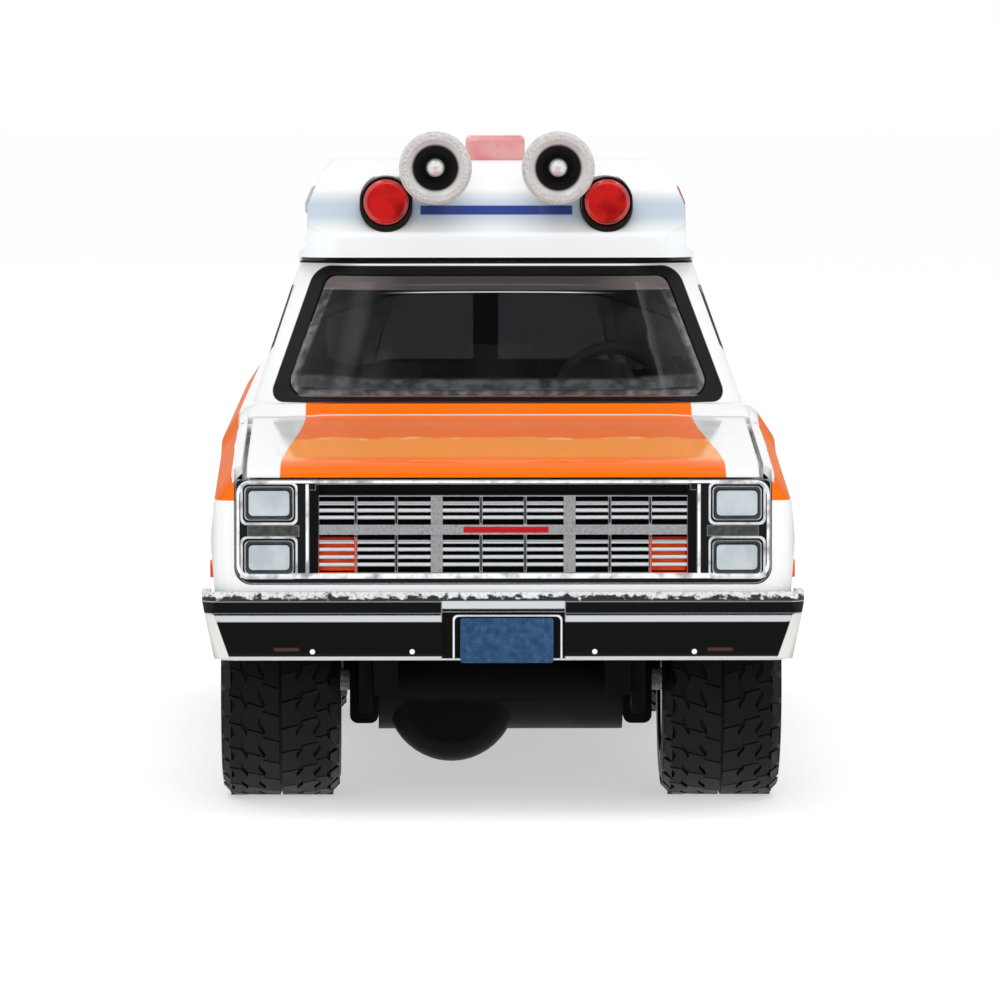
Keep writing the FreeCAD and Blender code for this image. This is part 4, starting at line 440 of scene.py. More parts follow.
def roof_colours(n, x, y, z, facing):
    """White with a plain blue stripe on the front; on the front a greyer lower face is painted shade, a
    lighter upper face and a lighter, cooler brim are painted light, and a black foot is painted shadow
    under the lip.
    """
    to_front = n.below(facing[1], -0.25, 0.05)
    stripe = n.all_of(n.band(z, *STRIPE_LEVEL), n.below(n.size(x), STRIPE_HALF, 0.025), to_front,
                      n.below(y, -0.25, 0.25))
    # Painted shade on the lower face, painted light on the upper face and brim, painted shadow along the
    # foot under the lip.
    shade = n.all_of(n.band(z, *SHADE_LEVEL, 0.5), to_front)
    lit_brim = n.all_of(n.below(z, CAP_BRIM, 0.1), to_front)
    lit_upper = n.all_of(n.above(z, CAP_CREASE, 0.2), to_front)
    foot = n.all_of(n.below(z, CAP_FOOT, 0.02), n.below(facing[1], -0.35, 0.05))
    white = n.mix(shade, n.mix(lit_upper, WHITE, LIT_UPPER_WHITE), SHADED_WHITE)
    white = n.mix(lit_brim, white, LIT_BRIM_WHITE)
    return n.mix(foot, n.mix(stripe, white, STRIPE_BLUE), BLACK), 0.02, 0.5


def plain_white(n, x, y, z, facing):
    return WHITE, 0.02, 0.5


PLATING = colour(214, 217, 221)
CAST_DARK, CAST_PALE = colour(92, 94, 96), colour(206, 208, 210)


def chrome(name, paint):
    """Vacuum plating; the paint function gives what is painted over it, painted reflections included, and
    what is rough.
    """
    material, n, sockets = start_material(name)
    place, x, y, z = n.place()
    texture = n.group(MOULDED, {"Place": place, "Size": 0.5})
    grain = n.group(STIPPLE, {"Place": place, "Size": 0.1, "Contrast": 0.45})
    mask, tone, cast = paint(n, x, y, z, n.facing())
    base = n.mix(cast, PLATING, n.mix(grain["Shade"], CAST_DARK, CAST_PALE))
    n.put(sockets["Base Color"], n.mix(mask, base, tone))
    rough = n.plus(n.times(texture["Gloss"], 0.05), 0.05)
    n.put(sockets["Roughness"], n.blend(mask, n.blend(cast, rough, 0.42), 0.5))
    metal = n.minus(n.without(mask), n.times(cast, 0.35), clamp=True)
    n.put(sockets["Metallic"], metal)
    n.put(sockets["Specular IOR Level"], n.blend(mask, 0.5, 0.15))
    height = n.plus(texture["Height"], n.times(n.times(grain["Height"], cast), 3.0))
    n.put(sockets["Normal"], bump(n, height, 0.12, 0.02, soft_edges(n, 0.09)))
    return material


def outline(n, across, up, half, low, high, line, corner):
    """Line of even width along a rounded rectangle."""
    def inside(inset):
        return n.panel(across, up, {
            "Half Low": half - inset, "Half High": half - inset, "Low": low + inset, "High": high - inset,
            "Round": corner, "Soft": 0.02})
    return n.minus(inside(0.0), inside(line), clamp=True)


# Areas of the bumpers painted with reflections and highlights, by level and by distance from the middle

BUMPER_LOW = edges("front_bumper")[0]
PLATE_LOW, PLATE_HIGH = edges("front_plate")
LIP_LEVEL = (10.86, 11.46)
FACE_LEVEL = (8.58, 10.42)
FLANGE_LEVEL = (8.58, 8.8)
RECESS_HALF, RECESS_TOP = 3.25, 10.925
TRIM_HALF, TRIM_LEVEL, TRIM_LINE = 2.88, (7.5, 10.76), 0.09
CORNER_LOW, CORNER_TOP, CORNER_FOOT, CORNER_SLOPE = 8.7, 10.8, 14.48, 0.35
CORNER_TURN, FACE_DEPTH, LEDGE_MIDDLE = 15.15, -38.1, 11.73
BOLT_MIDDLE, BOLT_REACH, BOLT_LEVEL, BOLT_RADIUS = 7.42, 2.62, 8.84, 0.135
RED_REFLECTION_WIDTH, RED_REFLECTION_LEVEL = (10.75, 12.05), (8.88, 9.04)
CORNER_REFLECTION_PALE, CORNER_REFLECTION_EDGE = colour(214, 214, 211), colour(158, 156, 150)
LEDGE_REFLECTION_DARK, LEDGE_REFLECTION_PALE = colour(44, 46, 48), colour(222, 224, 226)
REFLECTED_RED = colour(78, 48, 42)


def bumper_paint(n, x, y, z, facing):
    """Painted reflections on the plating: black lip and face, mottled top edge, pale corners, highlights on
    the trim round the plate and the bolts, and two dull red reflections.
    """
    width = n.size(x)
    centre = n.below(width, RECESS_HALF, 0.05)
    ahead = n.below(y, FACE_DEPTH, 0.1)
    to_front = n.below(facing[1], -0.4, 0.1)
    # The lip, face, flange and recess are painted black as the plating's dark reflection.
    face = n.all_of(ahead, n.below(y, BUMPER_LOW.y + 1.0, 0.1), n.below(facing[1], -0.04, 0.02))
    lip = n.all_of(n.band(z, *LIP_LEVEL), n.without(centre))
    flange = n.all_of(n.band(z, *FLANGE_LEVEL), to_front)
    recess = n.all_of(centre, n.below(z, RECESS_TOP, 0.025), to_front)
    slant = n.minus(width, n.times(n.minus(z, CORNER_LOW), CORNER_SLOPE))
    panel = n.all_of(face, n.band(z, *FACE_LEVEL), n.below(slant, CORNER_FOOT, 0.02))
    corner = n.all_of(face, n.below(z, CORNER_TOP, 0.02), n.above(slant, CORNER_FOOT, 0.02))
    plate_middle = (PLATE_LOW.x + PLATE_HIGH.x) / 2
    trim = n.all_of(recess, ahead, outline(
        n, n.minus(x, plate_middle + 0.04), z, TRIM_HALF, *TRIM_LEVEL, TRIM_LINE, 0.25))
    bolt = n.minus(n.size(n.minus(width, BOLT_MIDDLE)), BOLT_REACH)
    bolt = n.length(n.join(bolt, 0.0, n.minus(z, BOLT_LEVEL)))
    bolt = n.all_of(n.below(bolt, BOLT_RADIUS, 0.015), ahead)
    red_reflection = n.all_of(n.band(width, *RED_REFLECTION_WIDTH, 0.1), n.band(z, *RED_REFLECTION_LEVEL, 0.06), ahead)

    # Painted reflection on the top edge: mottled dark and pale.
    ripple = n.noise(n.join(x, 0.0, n.times(z, 1.6)), 1.9, 3.0, 0.6)
    ripple = n.plus(z, n.times(n.minus(ripple, 0.5), 1.3))
    speckle = n.step(n.noise(n.join(x, 0.0, z), 5.0, 2.0), 0.3, 0.5, 0.6, 1.0)
    mottle = n.all_of(n.above(ripple, LEDGE_MIDDLE, 0.09), speckle)
    ledge = n.all_of(n.above(z, LIP_LEVEL[1] + 0.03), n.below(facing[1], 0.15, 0.05))

    # Painted reflections: red marks, the top edge, pale corners and highlights on the trim and bolts.
    tone = n.mix(red_reflection, BLACK, REFLECTED_RED)
    tone = n.mix(ledge, tone, n.mix(mottle, LEDGE_REFLECTION_DARK, LEDGE_REFLECTION_PALE))
    tone = n.mix(corner, tone, n.mix(n.above(slant, CORNER_TURN, 0.25), CORNER_REFLECTION_PALE, CORNER_REFLECTION_EDGE))
    tone = n.mix(n.any_of(trim, bolt), tone, PAINTED_HIGHLIGHT)
    return n.any_of(lip, flange, recess, bolt, panel, corner, ledge), tone, 0.0


# Painted areas of the grille and headlamp insert

SLATS_HALF, DEEP_FACE = 9.79, -41.725
STRIP_WIDTH, STRIP_LEVEL = (9.70, 10.22), (12.85, 17.3)
SADDLE_WIDTH, SADDLE_LEVEL = (10.75, 13.45), (14.86, 15.42)
BROW_HALF, BROW_LEVEL = 9.875, (17.0, 17.6)
INLAY_MIDDLE, INLAY_HALF, INLAY_LEVEL, INLAY_RED = 0.15, 2.25, (15.03, 15.36), colour(178, 14, 26)
LAMP_WIDTH, LAMP_LEVEL, LAMP_ORANGE = (7.75, 9.72), (12.9, 14.75), colour(232, 70, 22)
BAR_HALF, BAR_LEVEL = 9.675, (14.9, 15.5)
UPRIGHT_WIDTH, UPRIGHT_LEVEL = (3.18, 3.82), (12.95, 17.0)
FRAME_FOOT_LEVEL, FRAME_FOOT_HALF = (12.68, 12.90), 13.85
POST_WIDTH, POST_LEVEL = (10.24, 10.40), (12.7, 17.6)
LENS_MIDDLE, LENS_FEET, HIGHLIGHT_DEPTH = 12.33, (12.6, 15.46), -41.95
BEZEL_HALF, BEZEL_HEIGHT, BEZEL_LINE = 1.5, 2.24, 0.11
LENS_HALF, LENS_INSET, LENS_LINE = 1.28, 0.26, 0.06
SADDLE_REFLECTION_GREY = colour(92, 94, 92)


def grille_paint(n, x, y, z, facing):
    """Black recesses, painted highlights along the raised lines, a painted reflection between the
    headlamps, orange over the parking lamps and a plain red inlay.
    """
    width = n.size(x)
    to_front = n.below(facing[1], -0.9, 0.05)
    deep = n.all_of(n.below(width, SLATS_HALF, 0.01), n.above(y, DEEP_FACE, 0.025))
    strip = n.all_of(n.band(width, *STRIP_WIDTH), n.band(z, *STRIP_LEVEL), to_front)
    saddle = n.all_of(n.band(width, *SADDLE_WIDTH), n.band(z, *SADDLE_LEVEL))
    brow = n.all_of(n.below(width, BROW_HALF, 0.025), n.band(z, *BROW_LEVEL))
    inlay = n.band(n.minus(x, INLAY_MIDDLE), -INLAY_HALF, INLAY_HALF, 0.02)
    inlay = n.all_of(inlay, n.band(z, *INLAY_LEVEL, 0.02), to_front)
    lamp = n.all_of(n.band(width, *LAMP_WIDTH), n.band(z, *LAMP_LEVEL), n.below(facing[2], 0.2, 0.05))
    bar = n.all_of(n.band(z, *BAR_LEVEL), n.below(width, BAR_HALF, 0.025))
    upright = n.all_of(n.band(width, *UPRIGHT_WIDTH), n.band(z, *UPRIGHT_LEVEL))
    cast = n.all_of(n.any_of(bar, upright), to_front)

    # Painted highlights along the frame, posts, bezels and lens rims, patchy across the insert.
    highlight_lines = n.any_of(
        outline(n, x, z, GRILLE_HIGH.x - 0.06, GRILLE_LOW.z + 0.27, GRILLE_HIGH.z - 0.05, 0.15, 0.7),
        n.all_of(n.band(z, *FRAME_FOOT_LEVEL), n.below(width, FRAME_FOOT_HALF, 0.05)),
        n.all_of(n.band(width, *POST_WIDTH), n.band(z, *POST_LEVEL)))
    across = n.minus(width, LENS_MIDDLE)
    for foot in LENS_FEET:
        top = foot + BEZEL_HEIGHT
        highlight_lines = n.any_of(highlight_lines, outline(n, across, z, BEZEL_HALF, foot, top, BEZEL_LINE, 0.3), outline(
            n, across, z, LENS_HALF, foot + LENS_INSET, top - LENS_INSET, LENS_LINE, 0.2))
    highlight_lines = n.all_of(highlight_lines, to_front, n.below(y, HIGHLIGHT_DEPTH, 0.05))
    flat = n.join(x, 0.0, z)
    patchy_highlight = n.step(n.noise(flat, 1.1, 4.0), 0.3, 0.56, 0.35, 1.0)

    # Painted reflection: dark with grey mottle on the panel between the headlamps.
    tone = n.mix(saddle, BLACK, n.mix(n.noise(flat, 3.0, 3.0), BLACK, SADDLE_REFLECTION_GREY))
    tone = n.mix(inlay, n.mix(lamp, tone, LAMP_ORANGE), INLAY_RED)
    tone = n.mix(n.times(highlight_lines, patchy_highlight), tone, PAINTED_HIGHLIGHT)
    return n.any_of(deep, strip, saddle, brow, inlay, lamp, highlight_lines), tone, cast


def plastic(name, tint, size, rough, depth=0.012, strength=0.35, specular=0.5):
    """Moulded plastic whose texture has the given size in millimetres."""
    material, n, sockets = start_material(name)
    texture = n.group(MOULDED, {"Place": n.place()[0], "Size": size})
    n.put(sockets["Base Color"], n.tint(tint, texture["Shade"]))
    n.put(sockets["Roughness"], n.plus(n.times(texture["Gloss"], 0.14), rough))
    sockets["Specular IOR Level"].default_value = specular
    n.put(sockets["Normal"], bump(n, texture["Height"], strength, depth, soft_edges(n, 0.06)))
    return material


def lens(name, tint, deep, rough=0.06, transmission=0.0, flutes=0.0):
    """Coloured clear plastic with clouds of a deeper tint and, where asked for, moulded flutes."""
    material, n, sockets = start_material(name)
    place = n.place()[0]
    cloud = n.noise(place, 0.8, 2.0)
    n.put(sockets["Base Color"], n.mix(n.step(cloud, 0.35, 0.7), tint, deep))
    n.put(sockets["Roughness"], n.step(n.noise(place, 1.5, 3.0), 0.3, 0.8, rough, rough + 0.05))
    sockets["Transmission Weight"].default_value = transmission
    sockets["IOR"].default_value = 1.49
    sockets["Coat Weight"].default_value = 0.8
    sockets["Coat Roughness"].default_value = 0.03
    wave = n.new("ShaderNodeTexWave", {"Vector": place, "Scale": 1.6, "Distortion": 0.0},
                 bands_direction="X").outputs[1]
    height = n.plus(n.times(wave, flutes), n.times(cloud, 0.1))
    n.put(sockets["Normal"], bump(n, height, 0.3, 0.05, soft_edges(n, 0.08)))
    return material


# Areas and tones of the clear moulding, with painted light on the screen

SCREEN_DEPTH = -13.1
SCREEN_PANE = {"Half Low": 11.38, "Half High": 9.03, "Low": 21.636, "High": 27.464, "Round": 0.7,
               "Soft": 0.12}
RIM_TOP = 27.075
HEADER_FOOT, HEADER_ENDS = 27.01, 6.5
ARC_LEVEL, ARC_HALF, ARC_FALL = (26.86, 26.93), 5.5, 0.0016
BOW = -1 / 120
SCREEN_TINT = (0.26, 0.265, 0.28, 1)
PANE_TINT, PANE_SMEAR = (0.055, 0.058, 0.062, 1), (0.075, 0.078, 0.082, 1)
HEADER_GLOW_TONE, HEADER_END_GLOW_TONE = colour(73, 67, 64), colour(123, 111, 110)
RIM_GLOW_PALE, ARC_REFLECTION_PALE = colour(186, 189, 191), colour(255, 255, 255)
NO_LIGHT, PAINTED_GLOW = (0, 0, 0, 1), 0.75


def clear_glass(name):
    """Clear moulding, dark at the sides; the screen has a bow, and a pale header, milky edges and a
    reflected arc that are painted light.

    These painted-light parts glow a little, because clear plastic has one transmission all over."""
    material, n, sockets = start_material(name)
    place, x, y, z = n.place()
    facing = n.facing()
    smear = n.noise(place, 0.5, 3.0)
    ahead = n.below(y, SCREEN_DEPTH, 0.1)
    front = n.all_of(ahead, n.below(facing[1], -0.35, 0.05))
    rim = n.all_of(n.without(n.panel(x, z, SCREEN_PANE)), n.below(z, RIM_TOP, 0.075),
                   n.step(n.noise(place, 1.2, 2.0), 0.3, 0.7, 0.3, 0.8))
    header = n.above(z, HEADER_FOOT)
    square = n.times(x, x)
    # Painted reflection: a pale arc across the screen.
    arc = n.band(n.plus(z, n.times(square, ARC_FALL)), *ARC_LEVEL)
    arc = n.times(arc, n.below(n.size(x), ARC_HALF, 1.5))
    # Painted light: the rim, header and arc glow instead of letting light through.
    milky_glow = n.times(front, n.any_of(n.times(rim, 0.75), n.times(header, 0.9), arc))
    glow_tone = n.mix(n.above(n.size(x), HEADER_ENDS, 2.0), HEADER_GLOW_TONE, HEADER_END_GLOW_TONE)
    glow_tone = n.mix(arc, n.mix(rim, glow_tone, RIM_GLOW_PALE), ARC_REFLECTION_PALE)
    screen = n.all_of(ahead, n.above(n.size(facing[1]), 0.35, 0.05))
    clear = n.mix(screen, n.mix(smear, PANE_TINT, PANE_SMEAR), SCREEN_TINT)
    base = n.mix(milky_glow, clear, glow_tone)
    n.put(sockets["Base Color"], n.mix(milky_glow, base, NO_LIGHT))
    n.put(sockets["Emission Color"], n.mix(milky_glow, NO_LIGHT, base))
    sockets["Emission Strength"].default_value = PAINTED_GLOW
    n.put(sockets["Roughness"], n.step(smear, 0.4, 0.8, 0.015, 0.05))
    sockets["Transmission Weight"].default_value = 1.0
    sockets["IOR"].default_value = 1.22
    height = n.plus(n.times(n.times(square, BOW), front), n.times(smear, 0.001))
    n.put(sockets["Normal"], bump(n, height, 1.0, 1.0))
    return material


# The mouth of a horn

HORN_LOW, HORN_HIGH = edges("siren_horn_left")
HORN_MIDDLE = (HORN_LOW + HORN_HIGH) / 2
MOUTH_DEPTH, PLUG_RADIUS, THROAT_RADIUS, MOUTH_RADIUS = -13.95, 0.49, 1.31, 1.59
SILVER_DARK, SILVER_PALE = colour(176, 177, 178), colour(240, 241, 241)
SMOOTH_SILVER, THROAT_SHADE_BLACK = colour(228, 229, 230), colour(10, 10, 11)


def silver_paint(name):
    """Coarse silver paint; the throat of each horn is painted black as painted shade, round a smooth silver
    plug.
    """
    material, n, sockets = start_material(name)
    place, x, y, z = n.place()
    grain = n.group(STIPPLE, {"Place": place, "Size": 0.15, "Contrast": 0.5})
    radius = n.length(n.join(n.minus(n.size(x), HORN_MIDDLE.x), 0.0, n.minus(z, HORN_MIDDLE.z)))
    mouth = n.all_of(n.below(n.facing()[1], -0.055, 0.025), n.below(y, MOUTH_DEPTH, 0.05))
    # Painted shade: the throat of the bell is black.
    shaded_throat = n.all_of(n.above(radius, PLUG_RADIUS + 0.015, 0.015), n.below(radius, THROAT_RADIUS, 0.09),
                      mouth)
    smooth = n.all_of(n.below(radius, MOUTH_RADIUS), mouth)
    silver = n.mix(grain["Shade"], SILVER_DARK, SILVER_PALE)
    silver = n.mix(smooth, silver, SMOOTH_SILVER)
    n.put(sockets["Base Color"], n.mix(shaded_throat, silver, THROAT_SHADE_BLACK))
    n.put(sockets["Metallic"], n.blend(shaded_throat, 0.4, 0.0))
    n.put(sockets["Roughness"], n.blend(smooth, 0.5, 0.28))
    dome = n.all_of(n.times(radius, radius), mouth, n.below(radius, PLUG_RADIUS - 0.01, 0.01))
    height = n.minus(n.times(grain["Height"], n.without(smooth)), n.times(dome, 9.0))
    n.put(sockets["Normal"], bump(n, height, 0.9, 0.14, soft_edges(n, 0.1)))
    return material


def tyre_rubber(name):
    """Dull black rubber."""
    material, n, sockets = start_material(name)
    grain = n.group(MOULDED, {"Place": n.place()[0], "Size": 0.16})
    n.put(sockets["Base Color"], n.mix(grain["Gloss"], colour(6, 6, 6), colour(14, 14, 14)))
    n.put(sockets["Roughness"], n.plus(n.times(grain["Gloss"], 0.2), 0.5))
    sockets["Specular IOR Level"].default_value = 0.2
    n.put(sockets["Normal"], bump(n, grain["Height"], 0.45, 0.03))
    return material


def plate_paint(name):
    """Mottled blue paint of the front plate, under a thin coat."""
    material, n, sockets = start_material(name)
    mottle = n.noise(n.place()[0], 3.0, 3.0)
    n.put(sockets["Base Color"], n.mix(n.step(mottle, 0.3, 0.7), colour(32, 66, 102), colour(48, 84, 122)))
    n.put(sockets["Roughness"], n.step(mottle, 0.2, 0.8, 0.18, 0.3))
    sockets["Coat Weight"].default_value = 0.4
    n.put(sockets["Normal"], bump(n, mottle, 0.15, 0.03, soft_edges(n, 0.06)))
    return material


# Finishes of the pieces

PAINT = {
    "body": painted_metal("body_paint", body_colours),
    "hood": painted_metal("hood_paint", hood_colours),
    "roof": painted_metal("roof_paint", roof_colours),
    "white": painted_metal("white_paint", plain_white),
}
CHROME = chrome("bumper_plating", bumper_paint)
GRILLE = chrome("grille_plating", grille_paint)
RED = lens("red_lens", colour(196, 30, 28), colour(140, 14, 16))
PINK = lens("beacon_lens", colour(250, 184, 184), colour(242, 150, 152), 0.16, 0.2)
AMBER = lens("amber_lens", colour(255, 96, 20), colour(236, 70, 10), 0.12)
CLEAR = lens("clear_lens", colour(226, 228, 232), colour(205, 208, 214), 0.1, 0.3)
HEADLAMP = lens("headlamp_lens", colour(196, 204, 208), colour(178, 188, 194), 0.1, 0.0, 0.5)
GLASS = clear_glass("window_clear")
SILVER = silver_paint("horn_silver")
RIM = plastic("rim_silver", colour(188, 189, 190), 0.3, 0.24, 0.01, 0.2, 0.6)
CABIN = plastic("cabin_plastic", colour(11, 11, 12), 0.2, 0.5, specular=0.2)
WHEEL = plastic("wheel_plastic", colour(132, 132, 135), 0.2, 0.35)
BEZEL = plastic("bezel_plastic", colour(14, 14, 15), 0.2, 0.4)
BASE = plastic("base_plastic", colour(6, 6, 7), 0.16, 0.5, 0.02, 0.45, 0.12)
TYRE = tyre_rubber("tyre_rubber")
PLATE = plate_paint("plate_blue")

FINISH = {
    "body_shell": PAINT["body"], "hood": PAINT["hood"], "roof_cap": PAINT["roof"],
    "window_moulding": GLASS, "grille_insert": GRILLE, "headlamp_lenses": HEADLAMP,
    "parking_lamps": AMBER, "front_bumper": CHROME, "rear_bumper": CHROME, "front_plate": PLATE,
    "roof_beacon": PINK, "interior_tub": CABIN, "dashboard": CABIN, "steering_wheel": WHEEL,
    "chassis_base": BASE, "base_rivets": PAINT["white"], "engine_block": SILVER,
    "roof_side_lamp_left": RED, "roof_side_lamp_right": CLEAR,
    "front_axle_pin": SILVER, "rear_axle_pin": SILVER,
}
PAIRS = {"side_marker": AMBER, "tail_lamp": RED, "roof_lamp_bezel": BEZEL, "roof_lamp_lens": RED,
         "siren_horn": SILVER, "front_tyre": TYRE, "rear_tyre": TYRE, "front_rim": RIM, "rear_rim": RIM}
for kind, finish in PAIRS.items():
    for side in SIDES:
        FINISH[f"{kind}_{side}"] = finish

# Angle in degrees above which an edge stays sharp, and distance in metres within which corners are one
SHARP = {"body_shell": 24, "hood": 24, "roof_cap": 24, "front_bumper": 12, "rear_bumper": 12,
         "grille_insert": 14, "front_plate": 14}
SHARP_ELSEWHERE = 32
SAME_PLACE = 2e-7


def body_of(node):
    return next(name for name, members in frame["record"]["behaviour"]["bodies"].items()
                if node in members)


def plain_mesh(piece):
    """Runs the piece's modifiers and leaves their result as a plain mesh."""
    bpy.context.view_layer.update()
    seen = piece.evaluated_get(bpy.context.evaluated_depsgraph_get())
    mesh = bpy.data.meshes.new_from_object(seen)
    piece.modifiers.clear()
    piece.data = mesh
    mesh.name = piece.name


def flat_regions(shape):
    """Direction and area of the flat region that each face belongs to."""
    found = {}
    for first in shape.faces:
        if first.index in found:
            continue
        region, queue = [], [first]
        found[first.index] = None
        while queue:
            face = queue.pop()
            region.append(face)
            for edge in face.edges:
                for other in edge.link_faces:
                    if other.index not in found and face.normal.dot(other.normal) > 0.99999:
                        found[other.index] = None
                        queue.append(other)
        total = sum((face.normal * face.calc_area() for face in region), Vector())
        area = total.length
        direction = total.normalized() if area else first.normal
        for face in region:
            found[face.index] = (direction, area)
    return found


def shade_flat_first(mesh, angle):
    """Corner directions that keep large flat faces flat and let the small ones between them turn."""
    shape = bmesh.new()
    shape.from_mesh(mesh)
    shape.faces.ensure_lookup_table()
    found = flat_regions(shape)
    limit = math.cos(math.radians(angle))
    corners = [None] * len(mesh.loops)
    for vert in shape.verts:
        left = set(vert.link_faces)
        while left:
            fan, queue = [], [left.pop()]
            while queue:
                face = queue.pop()
                fan.append(face)
                for edge in face.edges:
                    if vert in edge.verts:
                        for other in edge.link_faces:
                            if other in left and face.normal.dot(other.normal) > limit:
                                left.discard(other)
                                queue.append(other)
            seen = {}
            for face in fan:
                direction, area = found[face.index]
                seen[tuple(direction)] = direction * area * area
            total = sum(seen.values(), Vector())
            normal = total.normalized() if total.length else fan[0].normal
            for face in fan:
                for loop in face.loops:
                    if loop.vert is vert:
                        corners[loop.index] = normal[:]
    shape.free()
    mesh.normals_split_custom_set(corners)


def finish_node(node):
    """Merged copy of a CAD node, smooth across its shallow edges, in its own material."""
    mesh = nodes[node].data.copy()
    mesh.name = f"{node}_finish"
    joined = bmesh.new()
    joined.from_mesh(mesh)
    bmesh.ops.remove_doubles(joined, verts=joined.verts, dist=SAME_PLACE)
    joined.to_mesh(mesh)
    joined.free()
    mesh.materials.clear()
    mesh.materials.append(FINISH[node])
    mesh.shade_smooth()
    shade_flat_first(mesh, SHARP.get(node, SHARP_ELSEWHERE))
    piece = bpy.data.objects.new(f"{node}_finish", mesh)
    bpy.context.scene.collection.objects.link(piece)
    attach(piece, body_of(node))
    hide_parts(node)


for name in nodes:
    if "tyre" not in name and "side_lamp" not in name:
        finish_node(name)


# Tyres, with their places from the CAD pins and tyres

PINS = {end: edges(f"{end}_axle_pin") for end in ENDS}
AXLE_DEPTH = {end: (low.y + high.y) / 2 for end, (low, high) in PINS.items()}
AXLE_HEIGHT = sum(corner.z for corner in PINS["front"]) / 2
TYRE_LOW, TYRE_HIGH = edges("front_tyre_left")
TYRE_RADIUS = TYRE_HIGH.z - AXLE_HEIGHT
TYRE_OUTER = TYRE_HIGH.x
TYRE_WIDTH = TYRE_HIGH.x - TYRE_LOW.x
RING_STEPS, RING_SHARP = 72, 35

# Distance in from the tyre's side, and radius
WALL = ((0.02, 3.95), (0.0, 4.3), (0.0, 4.62), (0.08, 4.7), (0.02, 4.85), (0.0, 5.2), (0.12, 5.5),
        (0.38, 5.88), (0.62, 6.12))

LUGS = 26
PITCH = 2 * math.pi * TYRE_RADIUS / LUGS
BLOCK_COLUMNS = ((0.06, 0.98), (1.05, 1.92), (1.99, 2.62))
BLOCK_FOOT, BLOCK_GAP, BLOCK_SWING, BLOCK_CHAMFER = 6.0, 0.03, 0.17, 0.03
BLOCK_POINTS, BLOCK_SLANT = 6, 0.3
TREAD_DROP = 0.02

# Station across the tyre, gap to the next block, foot radius and drop from the tread
SHOULDER, SHOULDER_SIDE = (2.66, 0.12, 5.62, 0.08), (3.14, 0.2, 5.72, 0.62)


def mesh_piece(name, build, material):
    shape = bmesh.new()
    build(shape)
    bmesh.ops.recalc_face_normals(shape, faces=shape.faces)
    mesh = bpy.data.meshes.new(name)
    shape.to_mesh(mesh)
    shape.free()
    mesh.materials.append(material)
    piece = bpy.data.objects.new(name, mesh)
    bpy.context.scene.collection.objects.link(piece)
    return piece


def spin_profile(shape, profile, steps):
    """Closed ring round the X axis from (station, radius) points in millimetres."""
    rows = []
    for i in range(steps):
        turn = 2 * math.pi * i / steps
        rows.append([shape.verts.new(Vector((x, r * math.sin(turn), r * math.cos(turn))) * MM)
                     for x, r in profile])
    count = len(profile)
    for i in range(steps):
        first, second = rows[i], rows[(i + 1) % steps]
        for j in range(count):
            k = (j + 1) % count
            shape.faces.new((first[j], second[j], second[k], first[k]))


def skin(shape, rows):
    """Side faces between neighbouring rows of corners, and a face over each end."""
    count = len(rows[0])
    for low, high in zip(rows, rows[1:]):
        for i in range(count):
            k = (i + 1) % count
            shape.faces.new((low[i], low[k], high[k], high[i]))
    shape.faces.new(rows[-1])
    shape.faces.new(rows[0][::-1])


def on_tyre(shape, station, arc, radius):
    """Corner at a station across the tyre and an arc length round its tread."""
    turn = arc / TYRE_RADIUS
    return shape.verts.new(Vector((station, radius * math.sin(turn), radius * math.cos(turn))) * MM)


def lug(shape, corners, foot, top, inset):
    """One tread block over its (station, arc length) corners, from foot to top radius, chamfered."""
    centre = Vector((sum(p[0] for p in corners), sum(p[1] for p in corners))) / len(corners)

    def ring(radius, shrink):
        row = []
        for corner in corners:
            away = Vector(corner) - centre
            station, arc = centre + away * (1 - shrink / max(away.length, shrink))
            row.append(on_tyre(shape, station, arc, radius))
        return row

    skin(shape, [ring(foot, 0.0), ring(top - inset, 0.0), ring(top, inset)])


def wavy_block(left, right, start, end):
    """Corners of a block with wavy sides, straight beside the middle groove, and slanted ends."""
    def side(station, order):
        sway = BLOCK_SWING if station > BLOCK_COLUMNS[0][0] else 0.0
        row = []
        for share in (i / (BLOCK_POINTS - 1) for i in order):
            wave = sway * math.sin(2 * math.pi * (share + (start - BLOCK_GAP) / PITCH))
            row.append((station + wave, start + (end - start) * share + BLOCK_SLANT * (station - left)))
        return row
    return side(left, range(BLOCK_POINTS)) + side(right, reversed(range(BLOCK_POINTS)))


def shoulder_block(shape, direction, shift):
    """Block over the tyre's shoulder, which slopes to the wall."""
    low, high = [], []
    for (station, gap, foot, drop), ends in ((SHOULDER, (0, 1)), (SHOULDER_SIDE, (1, 0))):
        for end in ends:
            arc = shift + (PITCH - gap if end else gap)
            low.append(on_tyre(shape, direction * station, arc, foot))
            high.append(on_tyre(shape, direction * station, arc, TYRE_RADIUS - drop))
    skin(shape, [low, high])


def one_pitch(shape):
    """Tread blocks of one pitch across the whole width, the halves half a pitch apart."""
    for direction, shift in ((1, 0.0), (-1, PITCH / 2)):
        for i, (left, right) in enumerate(BLOCK_COLUMNS):
            start = shift + PITCH / 3 * i
            corners = wavy_block(left, right, start + BLOCK_GAP, start + PITCH - BLOCK_GAP)
            lug(shape, [(direction * x, arc) for x, arc in corners], BLOCK_FOOT,
                TYRE_RADIUS - TREAD_DROP, BLOCK_CHAMFER)
        shoulder_block(shape, direction, shift)


